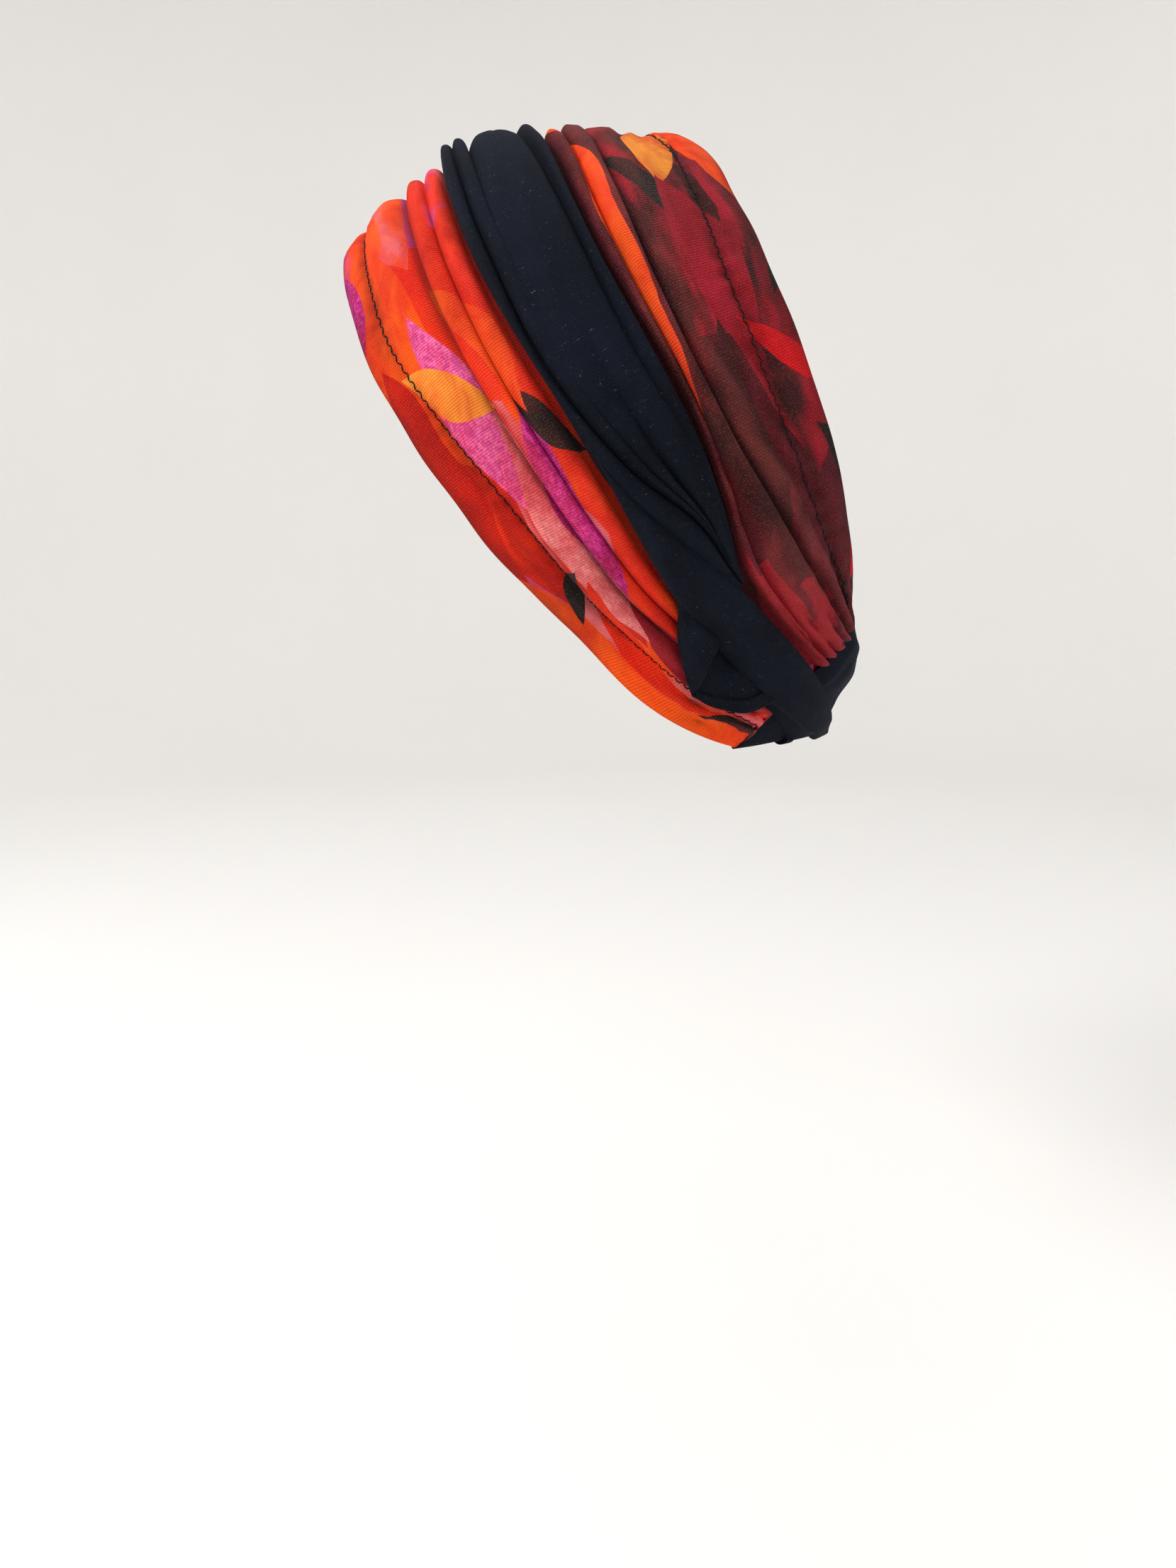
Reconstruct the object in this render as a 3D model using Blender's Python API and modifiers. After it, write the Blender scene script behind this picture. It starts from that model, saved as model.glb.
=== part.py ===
"""Tie headband of stretch jersey, ready to wear.

A wide printed band runs over the crown and down behind both ears, where its ends are
gathered into a plain nape band. A navy tie strap lies along the middle of the printed band,
gathers to a pinch behind the left ear and passes under a wrap, which crosses the left nape
seam and turns in under the nape band. The folded tail of the tie stands out beside the wrap.

Units are metres and +Z is up. The forehead is towards -Y and the knot is on the +X side.
The origin is the crown seat: the top of the hollow that the band is worn on.

Every piece is drawn in ring coordinates. The turn runs along the band, from 0 degrees at the
crown to 180 at the nape. The lean runs across it, from the ring's plane towards the back.
The height is counted outwards from the hollow.
"""

import math
from collections import namedtuple

import bpy
import numpy as np

MM = 0.001

# Hollow: an upper ellipsoid, blended at the nape with a narrower lower one
HOLLOW_HALF_WIDTH = 76.2 * MM
HOLLOW_HALF_LENGTH = 98.3 * MM
HOLLOW_HALF_HEIGHT = 83.4 * MM
NAPE_HALF_WIDTH = 54 * MM
NAPE_HALF_LENGTH = 58 * MM
NAPE_HALF_HEIGHT = 84 * MM
NAPE_CENTRE_BACK = 8 * MM
NAPE_CENTRE_DOWN = 62 * MM
HOLLOW_BLEND = 14
RING_TILT = 60.0

# Where the cloth bridges the hollow instead of following it
NAPE_LIFT = 12.5 * MM
NAPE_LIFT_FROM = 138.0
NAPE_LIFT_LEAN = 13.0
NAPE_LIFT_SPREAD = 13.5
CROWN_LIFT = 2.6 * MM
CROWN_LIFT_TO = 62.0
CROWN_LIFT_LEAN = (31.0, 45.0)

# Cloth
BAND_WALL = 1.9 * MM
NAPE_WALL = 2.6 * MM
STRAP_WALL = 2.0 * MM
WRAP_WALL = 2.2 * MM
TAIL_WALL = 1.3 * MM
SEAM_GAP = 0.45 * MM
SEAM_FRONT_TURN = 157.5
SEAM_BACK_TURN = 166.0

# Mesh steps
BAND_STATIONS = 55
STRAP_STATIONS = 47
NAPE_STATIONS = 15
NAPE_COLUMNS = 9
WRAP_STATIONS = 28
WRAP_COLUMNS = 9
TAIL_STATIONS = 9
TAIL_COLUMNS = 13
CREST_ROUNDNESS = 0.7
NORMAL_STEP = 0.05
EDGE_SHARE = 0.01

# The printed band's edges, from the crown to the seam at the nape
Edge = namedtuple("Edge", "along front_lean back_lean")
BAND_EDGES = (
    Edge(0.00, -25.5, 44.6),
    Edge(0.10, -26.4, 44.8),
    Edge(0.22, -30.2, 46.4),
    Edge(0.32, -33.4, 45.6),
    Edge(0.46, -35.6, 42.7),
    Edge(0.60, -34.7, 39.4),
    Edge(0.72, -31.8, 35.6),
    Edge(0.82, -27.0, 32.0),
    Edge(0.90, -19.8, 29.2),
    Edge(1.00, -6.8, 23.6),
)

# Folds that run along the printed band. A place is the share of the way from the front edge
# to the back edge, a height is that of the cloth's outer face in millimetres, and steps are
# the mesh columns up to the next fold. Each has a value at these five stations of the band.
BAND_STATION_AT = (0.00, 0.36, 0.67, 0.84, 1.00)
Fold = namedtuple("Fold", "name place height steps")
BAND_FOLDS = (
    Fold("front_edge", (0.000, 0.000, 0.000, 0.000, 0.000), (2.2, 2.2, 2.2, 2.2, 2.4), 1),
    Fold("front_hem", (0.045, 0.036, 0.062, 0.070, 0.075), (2.9, 2.6, 2.7, 2.8, 2.9), 1),
    Fold("front_stitch", (0.090, 0.070, 0.125, 0.137, 0.150), (2.3, 2.2, 2.2, 2.3, 2.6), 2),
    Fold("ridge_a", (0.150, 0.140, 0.175, 0.190, 0.210), (4.8, 3.8, 4.6, 4.4, 4.0), 2),
    Fold("valley_a", (0.215, 0.210, 0.228, 0.242, 0.270), (2.3, 2.3, 2.3, 2.3, 2.6), 1),
    Fold("ridge_b", (0.245, 0.240, 0.255, 0.270, 0.300), (5.0, 4.4, 4.6, 3.2, 3.4), 1),
    Fold("trough_b", (0.275, 0.265, 0.280, 0.300, 0.325), (3.0, 3.0, 2.8, 2.4, 2.7), 1),
    Fold("ridge_c", (0.305, 0.293, 0.318, 0.330, 0.350), (5.4, 5.0, 4.8, 3.0, 3.2), 1),
    Fold("bed_front", (0.328, 0.315, 0.348, 0.352, 0.372), (2.3, 2.3, 2.3, 2.3, 2.5), 4),
    Fold("bed_back", (0.614, 0.604, 0.646, 0.605, 0.610), (2.3, 2.3, 2.3, 2.3, 2.5), 1),
    Fold("roll_d", (0.638, 0.622, 0.657, 0.628, 0.640), (5.2, 5.0, 3.6, 4.6, 5.6), 1),
    Fold("valley_d", (0.660, 0.640, 0.669, 0.650, 0.668), (2.8, 2.8, 2.7, 2.6, 3.0), 2),
    Fold("ridge_e", (0.682, 0.667, 0.692, 0.724, 0.750), (6.0, 5.6, 5.4, 6.6, 6.6), 2),
    Fold("valley_e", (0.705, 0.693, 0.715, 0.797, 0.835), (2.6, 2.4, 2.4, 2.4, 3.0), 1),
    Fold("ridge_f", (0.745, 0.730, 0.745, 0.832, 0.880), (5.2, 4.6, 4.6, 5.4, 6.0), 2),
    Fold("back_panel", (0.820, 0.810, 0.812, 0.868, 0.915), (3.6, 3.2, 3.2, 3.2, 3.2), 1),
    Fold("back_stitch", (0.900, 0.888, 0.870, 0.895, 0.945), (2.8, 2.4, 2.4, 2.6, 4.6), 1),
    Fold("back_hem", (0.950, 0.944, 0.935, 0.948, 0.972), (3.6, 2.9, 2.9, 2.9, 3.0), 1),
    Fold("back_edge", (1.000, 1.000, 1.000, 1.000, 1.000), (2.8, 2.2, 2.2, 2.2, 2.6), 1),
)

# Folds that run along the tie strap, placed on the printed band in the same way, from the right
# seam over the crown to the pinch
STRAP_START = -0.992
STRAP_PINCH = 0.82
STRAP_STATION_AT = (-1.00, -0.65, 0.00, 0.36, 0.62, 0.72, 0.82)
STRAP_FOLDS = (
    Fold("front_edge", (0.40, 0.364, 0.342, 0.33, 0.382, 0.456, 0.558), (4.9,) * 7, 1),
    Fold("front_roll", (0.415, 0.378, 0.364, 0.348, 0.394, 0.466, 0.56),
         (6.6, 6.8, 10.6, 7.6, 7.0, 7.0, 6.2), 1),
    Fold("front_groove", (0.43, 0.392, 0.393, 0.368, 0.407, 0.478, 0.562),
         (5.4, 5.6, 5.6, 5.8, 5.8, 5.4, 5.6), 2),
    Fold("middle_front", (0.455, 0.44, 0.445, 0.42, 0.453, 0.51, 0.564),
         (6.8, 7.4, 8.8, 7.8, 7.8, 7.6, 6.6), 1),
    Fold("middle", (0.485, 0.485, 0.49, 0.47, 0.50, 0.537, 0.566), (6.2, 7.6, 8.4, 8.0, 7.0, 5.8, 6.0), 1),
    Fold("middle_back", (0.51, 0.53, 0.52, 0.52, 0.545, 0.565, 0.569),
         (6.8, 7.4, 8.0, 7.8, 8.2, 8.4, 7.0), 1),
    Fold("back_groove", (0.54, 0.56, 0.54, 0.562, 0.595, 0.60, 0.572),
         (5.4, 5.8, 5.2, 5.8, 6.8, 6.6, 6.0), 1),
    Fold("back_roll", (0.56, 0.574, 0.568, 0.577, 0.611, 0.616, 0.575),
         (6.4, 6.6, 7.4, 7.0, 6.4, 6.2, 5.6), 1),
    Fold("back_edge", (0.585, 0.588, 0.598, 0.59, 0.625, 0.63, 0.578), (4.9,) * 7, 1),
)

# The nape band's edges, from a seam to the middle of the nape
NAPE_FRONT_LEAN = 8.2
NAPE_BACK_LEAN = 23.0
NAPE_EDGE_HEIGHT = 2.8 * MM
NAPE_ROLL_HEIGHT = 0.8 * MM

# The wrap, a row for each station of its run: both sides in turn and lean, and the heights in
# millimetres of its sides and of its crest
Crossing = namedtuple("Crossing", "front_turn front_lean back_turn back_lean side crest")
WRAP_RUN = (
    Crossing(104.0, -6.4, 104.4, -4.9, 4.9, 5.6),
    Crossing(110.5, -6.2, 111.3, -3.6, 4.9, 7.2),
    Crossing(117.5, -5.9, 118.6, -0.9, 4.9, 8.6),
    Crossing(124.5, -5.6, 125.2, 1.9, 4.9, 9.6),
    Crossing(131.5, -4.6, 132.0, 5.0, 4.9, 10.2),
    Crossing(139.5, -3.2, 140.0, 7.4, 4.9, 10.2),
    Crossing(148.5, -0.8, 149.0, 8.8, 5.2, 9.8),
    Crossing(154.5, 0.9, 156.0, 10.0, 6.6, 9.4),
    Crossing(158.5, 1.2, 163.5, 10.5, 7.2, 9.0),
    Crossing(162.0, 1.5, 172.5, 9.8, 7.4, 8.4),
)

WRAP_BULGE = 0.6

# The turn of the wrap in under the nape band's front edge, between two shares of its length,
# and how far across the band it reaches inside
TUCK_SHARES = (0.14, 0.40)
TUCK_RADIUS = 4.4 * MM
TUCK_REACH = (0.14, 0.28)
TUCK_ANGLES = (0.0, 45.0, 90.0, 135.0, 180.0)

# The folded tail beside the wrap, in turn and lean
TAIL_TOP = (129.4, -6.4)
TAIL_CORNER = (146.4, -11.2)
TAIL_MOUTH = (141.6, -4.4)
TAIL_RIM = (153.6, -1.6)
TAIL_RIM_SAG = 1.3
TAIL_SIDE_BOW = 1.1
TAIL_START = 0.14
TAIL_TURN_SHARE = 0.12
TAIL_LAY_HEIGHT = 5.5 * MM
TAIL_OPEN_HEIGHT = (2.4 * MM, 4.4 * MM)

# Finish of each piece: colour, roughness
PRINT_FINISH = ((0.74, 0.06, 0.03), 0.85)
NAVY_FINISH = ((0.012, 0.014, 0.022), 0.88)

COLLECTION_NAME = "tie_headband"


def smooth_through(stations, values, at):
    """Cubic curve through the stations, level at the first one."""
    stations = np.asarray(stations, dtype=float)
    values = np.asarray(values, dtype=float)
    slope = np.gradient(values, stations)
    slope[0] = 0.0
    at = np.clip(at, stations[0], stations[-1])
    cell = np.clip(np.searchsorted(stations, at, side="right") - 1, 0, len(stations) - 2)
    span = stations[cell + 1] - stations[cell]
    share = (at - stations[cell]) / span
    rest = 1.0 - share
    start = values[cell] * (1.0 + 2.0 * share) * rest**2
    start += slope[cell] * span * share * rest**2
    end = values[cell + 1] * (1.0 + 2.0 * rest) * share**2
    end -= slope[cell + 1] * span * rest * share**2
    return start + end


def smooth_step(low, high, at):
    """0 below low, 1 above high, and a smooth ramp between them."""
    share = np.clip((at - low) / (high - low), 0.0, 1.0)
    return share * share * (3.0 - 2.0 * share)


def mix(start, end, share):
    return start + (end - start) * share


def ring_direction(turn, lean):
    """Unit vectors for arrays of turn and lean in degrees."""
    turn, lean, tilt = np.radians(turn), np.radians(lean), math.radians(RING_TILT)
    along_crown = np.cos(lean) * np.cos(turn)
    side = np.cos(lean) * np.sin(turn)
    across = np.sin(lean)
    back = across * math.sin(tilt) - along_crown * math.cos(tilt)
    up = across * math.cos(tilt) + along_crown * math.sin(tilt)
    return np.stack([side, back, up], axis=-1)


def ellipsoid_reach(direction, centre, half_axes):
    """Distance from the middle of the hollow to an ellipsoid around it."""
    scaled = direction / half_axes
    offset = -centre / half_axes
    square = (scaled * scaled).sum(-1)
    cross = (scaled * offset).sum(-1)
    rest = (offset * offset).sum(-1) - 1.0
    return (np.sqrt(cross * cross - square * rest) - cross) / square


def hollow_reach(direction):
    """Distance from the middle of the hollow to its wall, smooth where the two forms meet."""
    upper_axes = np.array([HOLLOW_HALF_WIDTH, HOLLOW_HALF_LENGTH, HOLLOW_HALF_HEIGHT])
    lower_axes = np.array([NAPE_HALF_WIDTH, NAPE_HALF_LENGTH, NAPE_HALF_HEIGHT])
    lower_centre = np.array([0.0, NAPE_CENTRE_BACK, -NAPE_CENTRE_DOWN])
    upper = ellipsoid_reach(direction, np.zeros(3), upper_axes)
    lower = ellipsoid_reach(direction, lower_centre, lower_axes)
    return (upper**HOLLOW_BLEND + lower**HOLLOW_BLEND) ** (1.0 / HOLLOW_BLEND)


def cloth_lift(turn, lean):
    """How far the cloth bridges the hollow: at the nape, and behind the crown."""
    around = smooth_step(NAPE_LIFT_FROM, 180.0, turn)
    across = np.exp(-(((lean - NAPE_LIFT_LEAN) / NAPE_LIFT_SPREAD) ** 2))
    crown = smooth_step(CROWN_LIFT_LEAN[0], CROWN_LIFT_LEAN[1], lean)
    crown = crown * (1.0 - smooth_step(0.0, CROWN_LIFT_TO, turn))
    return NAPE_LIFT * around * across + CROWN_LIFT * crown


def base_point(turn, lean):
    """Points on the hollow as the cloth bridges it; turns past 180 are on the other side."""
    direction = ring_direction(turn, lean)
    short_turn = 180.0 - np.abs(180.0 - np.abs(turn))
    reach = hollow_reach(direction) + cloth_lift(short_turn, lean)
    points = direction * reach[..., None]
    points[..., 2] -= HOLLOW_HALF_HEIGHT
    return points


def ring_point(turn, lean, height):
    """Points at a height above the bridged hollow, counted along its normal."""
    step = NORMAL_STEP
    turn, lean, height = np.broadcast_arrays(turn, lean, height)
    along = base_point(turn + step, lean) - base_point(turn - step, lean)
    across = base_point(turn, lean + step) - base_point(turn, lean - step)
    normal = np.cross(along, across)
    normal /= np.linalg.norm(normal, axis=-1, keepdims=True)
    return base_point(turn, lean) + normal * height[..., None]


def band_place(along, across):
    """Turn and lean of a place on the printed band; along runs from -1 to 1, seam to seam."""
    distance = np.abs(along)
    stations = [edge.along for edge in BAND_EDGES]
    front_lean = smooth_through(stations, [edge.front_lean for edge in BAND_EDGES], distance)
    back_lean = smooth_through(stations, [edge.back_lean for edge in BAND_EDGES], distance)
    turn = along * mix(SEAM_FRONT_TURN, SEAM_BACK_TURN, across**2)
    return turn, mix(front_lean, back_lean, across)


def fold_profile(folds, stations, at):
    """Places and heights of the mesh columns across a folded piece.

    Between two folds the place goes evenly, and the height follows a quarter round, so that
    crests are round and valleys are creased.
    """
    tracks = []
    for fold in folds:
        place = smooth_through(stations, fold.place, at)
        tracks.append((place, smooth_through(stations, fold.height, at) * MM))
    places = []
    heights = []
    for fold, (place, height), (next_place, next_height) in zip(folds, tracks, tracks[1:]):
        for step in range(fold.steps):
            share = step / fold.steps
            rise = mix(share, 1.0 - (1.0 - share) ** 2, CREST_ROUNDNESS)
            fall = mix(share, share**2, CREST_ROUNDNESS)
            quarter = np.where(next_height > height, rise, fall)
            places.append(mix(place, next_place, share))
            heights.append(mix(height, next_height, quarter))
    places.append(tracks[-1][0])
    heights.append(tracks[-1][1])
    return np.array(places), np.array(heights)


def folded_points(folds, stations, along, at):
    """Grid of points of a piece that lies along the printed band."""
    places, heights = fold_profile(folds, stations, at)
    turn, lean = band_place(along[None, :], places)
    return ring_point(turn, lean, heights)


def sheet_object(name, points, wall, finish, offset=-1.0):
    """Open sheet on a grid of points, given its wall by a Solidify modifier.

    The grid's first index runs across the piece, from its front edge to its back edge, and
    the second along it, so the faces point away from the hollow.
    """
    across, along = points.shape[:2]
    index = np.arange(across * along).reshape(across, along)
    corners = [index[:-1, :-1], index[:-1, 1:], index[1:, 1:], index[1:, :-1]]
    faces = np.stack(corners, axis=-1).reshape(-1, 4)
    mesh = bpy.data.meshes.new(name)
    mesh.from_pydata(points.reshape(-1, 3).tolist(), [], faces.tolist())
    mesh.shade_smooth()
    mesh.materials.append(cloth_material(name, finish))
    piece = bpy.data.objects.new(name, mesh)
    solidify = piece.modifiers.new("wall", "SOLIDIFY")
    solidify.thickness = wall
    solidify.offset = offset
    return piece


def cloth_material(name, finish):
    colour, roughness = finish
    material = bpy.data.materials.new(name)
    material.use_nodes = True
    shader = material.node_tree.nodes["Principled BSDF"]
    shader.inputs["Base Color"].default_value = (*colour, 1.0)
    shader.inputs["Roughness"].default_value = roughness
    shader.inputs["Metallic"].default_value = 0.0
    return material


def printed_band():
    """Printed jersey, hemmed along both edges and gathered at both seams."""
    along = np.linspace(-1.0, 1.0, BAND_STATIONS)
    points = folded_points(BAND_FOLDS, BAND_STATION_AT, along, np.abs(along))
    return sheet_object("printed_band", points, BAND_WALL, PRINT_FINISH)


def tie_strap():
    """Navy strap along the middle of the band, from the right seam to the pinch."""
    along = np.linspace(STRAP_START, STRAP_PINCH, STRAP_STATIONS)
    points = folded_points(STRAP_FOLDS, STRAP_STATION_AT, along, along)
    return sheet_object("tie_strap", points, STRAP_WALL, NAVY_FINISH)


def nape_place(along, across):
    """Turn and lean on the nape band; along runs from the left seam at 0 to the right at 1."""
    seam_turn = mix(SEAM_FRONT_TURN, SEAM_BACK_TURN, across**2)
    seam_lean = mix(BAND_EDGES[-1].front_lean, BAND_EDGES[-1].back_lean, across)
    middle_lean = mix(NAPE_FRONT_LEAN, NAPE_BACK_LEAN, across)
    seam_gap = np.degrees(SEAM_GAP / (HOLLOW_HALF_LENGTH + NAPE_LIFT))
    turn = mix(seam_turn + seam_gap, 360.0 - seam_turn - seam_gap, along)
    bow = 1.0 - (2.0 * along - 1.0) ** 2
    return turn, mix(seam_lean, middle_lean, bow)


def nape_points(along, across):
    """Outer face of the nape band, with both edges rolled inwards."""
    turn, lean = nape_place(along, across)
    roll = NAPE_ROLL_HEIGHT * (1.0 - (2.0 * across - 1.0) ** 4)
    return ring_point(turn, lean, NAPE_EDGE_HEIGHT + roll)


def nape_band():
    """Plain elastic casing between the two seams, bridging the hollow of the nape."""
    along = np.linspace(0.0, 1.0, NAPE_STATIONS)[None, :]
    across = np.linspace(0.0, 1.0, NAPE_COLUMNS)[:, None]
    return sheet_object("nape_band", nape_points(along, across), NAPE_WALL, NAVY_FINISH)


def wrap_over():
    """The wrap from its tip beside the strap to the nape band, bulging between its sides."""
    rows = np.linspace(0.0, len(WRAP_RUN) - 1.0, WRAP_STATIONS)
    column = {}
    for field in Crossing._fields:
        values = [getattr(row, field) for row in WRAP_RUN]
        column[field] = smooth_through(range(len(WRAP_RUN)), values, rows)
    across = np.linspace(0.0, 1.0, WRAP_COLUMNS)[:, None]
    turn = mix(column["front_turn"], column["back_turn"], across)
    lean = mix(column["front_lean"], column["back_lean"], across)
    bulge = np.sin(np.pi * across) ** WRAP_BULGE
    height = mix(column["side"], column["crest"], bulge) * MM
    return ring_point(turn, lean, height)


def nape_frame(along, across):
    """Middle of the nape band's wall, with its directions away from the edge and outwards."""
    face = nape_points(along, across)
    inland = nape_points(along, across + EDGE_SHARE) - face
    sideways = nape_points(along + EDGE_SHARE, across) - face
    outward = np.cross(sideways, inland)
    inland /= np.linalg.norm(inland, axis=-1, keepdims=True)
    outward /= np.linalg.norm(outward, axis=-1, keepdims=True)
    return face - outward * NAPE_WALL / 2.0, inland, outward


def wrap_tuck():
    """The wrap's end: a half turn round the nape band's front edge, and a stretch inside it."""
    along = mix(*TUCK_SHARES, np.linspace(0.0, 1.0, WRAP_COLUMNS))
    rows = []
    middle, inland, outward = nape_frame(along, np.full_like(along, EDGE_SHARE))
    for angle in np.radians(TUCK_ANGLES):
        rows.append(middle + TUCK_RADIUS * (outward * math.cos(angle) - inland * math.sin(angle)))
    for reach in TUCK_REACH:
        middle, inland, outward = nape_frame(along, np.full_like(along, reach))
        rows.append(middle - outward * TUCK_RADIUS)
    return np.stack(rows, axis=1)


def knot_wrap():
    """Wrap that crosses the pinch and the left seam and hooks in under the nape band."""
    points = np.concatenate([wrap_over(), wrap_tuck()], axis=1)
    return sheet_object("knot_wrap", points, WRAP_WALL, NAVY_FINISH)


def tie_tail():
    """Folded end of the tie: one layer lies on the band, the other stands open over it.

    Each station crosses from the end of the lying layer, at side -1, round the fold at 0 to
    the end of the open layer, at side 1.
    """
    along = np.linspace(TAIL_START, 1.0, TAIL_STATIONS)[None, :, None]
    side = np.linspace(-1.0, 1.0, TAIL_COLUMNS)[:, None, None]
    top = np.array(TAIL_TOP)
    fold = mix(top, np.array(TAIL_CORNER), along)
    fold = fold - np.array([0.0, TAIL_SIDE_BOW]) * np.sin(np.pi * along)
    rim = mix(top, np.array(TAIL_RIM), along)
    mouth = mix(top, np.array(TAIL_MOUTH), along)
    end = np.where(side < 0.0, rim, mouth)
    place = mix(fold, end, np.abs(side))
    sag = np.where(side < 0.0, np.sin(np.pi * np.abs(side)) * along**3, 0.0)
    place = place + sag * np.array([TAIL_RIM_SAG, 0.0])
    opening = mix(*TAIL_OPEN_HEIGHT, along) * smooth_step(-TAIL_TURN_SHARE, TAIL_TURN_SHARE, side)
    height = (TAIL_LAY_HEIGHT + opening)[..., 0]
    points = ring_point(place[..., 0], place[..., 1], height)
    return sheet_object("tie_tail", points, TAIL_WALL, NAVY_FINISH, 0.0)


def clear_scene():
    for scene_object in list(bpy.data.objects):
        bpy.data.objects.remove(scene_object, do_unlink=True)


def main():
    clear_scene()
    collection = bpy.data.collections.new(COLLECTION_NAME)
    bpy.context.scene.collection.children.link(collection)
    seat = bpy.data.objects.new("crown_seat", None)
    collection.objects.link(seat)
    for make in (printed_band, nape_band, tie_strap, knot_wrap, tie_tail):
        piece = make()
        piece.parent = seat
        collection.objects.link(piece)


main()
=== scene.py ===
"""Finish of a tie headband of stretch jersey: its folds, print, knit, hems and stitching.

Units are metres and +Z is up. The forehead is towards -Y and the knot is on the +X side.
Every piece is drawn in ring coordinates. The turn runs along the band, from 0 degrees at the
crown to 180 at the nape. The lean runs across it, from the ring's plane towards the back.
The height is counted outwards from the hollow that the band is worn on.
"""

import math
from collections import namedtuple

import bpy
import numpy as np
from bpy.props import FloatProperty
from bpy.props import FloatVectorProperty
from bpy.props import PointerProperty
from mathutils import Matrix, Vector


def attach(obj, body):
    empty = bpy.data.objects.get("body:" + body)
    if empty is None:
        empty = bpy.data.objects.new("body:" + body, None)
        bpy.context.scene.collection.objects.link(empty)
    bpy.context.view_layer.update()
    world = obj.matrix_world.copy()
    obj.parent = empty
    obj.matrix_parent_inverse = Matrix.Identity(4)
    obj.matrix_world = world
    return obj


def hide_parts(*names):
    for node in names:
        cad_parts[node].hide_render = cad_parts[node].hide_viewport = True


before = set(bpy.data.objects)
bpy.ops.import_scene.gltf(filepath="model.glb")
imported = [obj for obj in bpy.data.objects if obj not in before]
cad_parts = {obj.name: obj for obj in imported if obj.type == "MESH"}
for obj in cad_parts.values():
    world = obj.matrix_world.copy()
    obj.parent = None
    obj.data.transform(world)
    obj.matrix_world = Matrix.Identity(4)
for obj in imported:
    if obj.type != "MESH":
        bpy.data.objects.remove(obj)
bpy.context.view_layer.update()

bl_info = {
    "name": "Tie Headband",
    "version": (1, 0, 0),
    "blender": (4, 5, 0),
    "location": "3D View > Sidebar > Headband",
    "description": "Builds the finished cloth of a tie headband, piece by piece",
    "category": "Add Mesh",
}

MM = 0.001
BODY = "root"

# Hollow: an upper ellipsoid, blended at the nape with a narrower lower one
HOLLOW_HALF_WIDTH = 76.2 * MM
HOLLOW_HALF_LENGTH = 98.3 * MM
HOLLOW_HALF_HEIGHT = 83.4 * MM
NAPE_HALF_WIDTH = 54 * MM
NAPE_HALF_LENGTH = 58 * MM
NAPE_HALF_HEIGHT = 84 * MM
NAPE_CENTRE_BACK = 8 * MM
NAPE_CENTRE_DOWN = 62 * MM
HOLLOW_BLEND = 14
RING_TILT = 60.0

# Where the cloth bridges the hollow instead of following it
NAPE_LIFT = 12.5 * MM
NAPE_LIFT_FROM = 138.0
NAPE_LIFT_LEAN = 13.0
NAPE_LIFT_SPREAD = 13.5
CROWN_LIFT = 2.6 * MM
CROWN_LIFT_TO = 62.0
CROWN_LIFT_LEAN = (31.0, 45.0)
SEAM_FRONT_TURN = 157.5
SEAM_BACK_TURN = 166.0
SEAM_GAP = 0.1 * MM

# Mesh steps
BAND_STATIONS = 421
SEAM_CROWDING = 1.4
STRAP_STATIONS = 300
NAPE_STATIONS = 150
NAPE_COLUMNS = 46
WRAP_STATIONS = 170
WRAP_COLUMNS = 96
TUCK_STATIONS = 24
TAIL_STATIONS = 70
TAIL_COLUMNS = 97
CURL_STEPS = 6
THREAD_SIDES = 6
NORMAL_STEP = 0.05

# The printed band's edges, from the crown to the seam at the nape
Edge = namedtuple("Edge", "along front_lean back_lean")
BAND_EDGES = (
    Edge(0.00, -25.5, 44.6),
    Edge(0.10, -26.4, 44.8),
    Edge(0.22, -30.2, 46.4),
    Edge(0.32, -33.4, 45.6),
    Edge(0.46, -35.6, 42.7),
    Edge(0.60, -34.7, 39.4),
    Edge(0.72, -31.8, 35.6),
    Edge(0.82, -27.0, 32.0),
    Edge(0.90, -19.8, 29.2),
    Edge(1.00, -6.8, 23.6),
)

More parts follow.
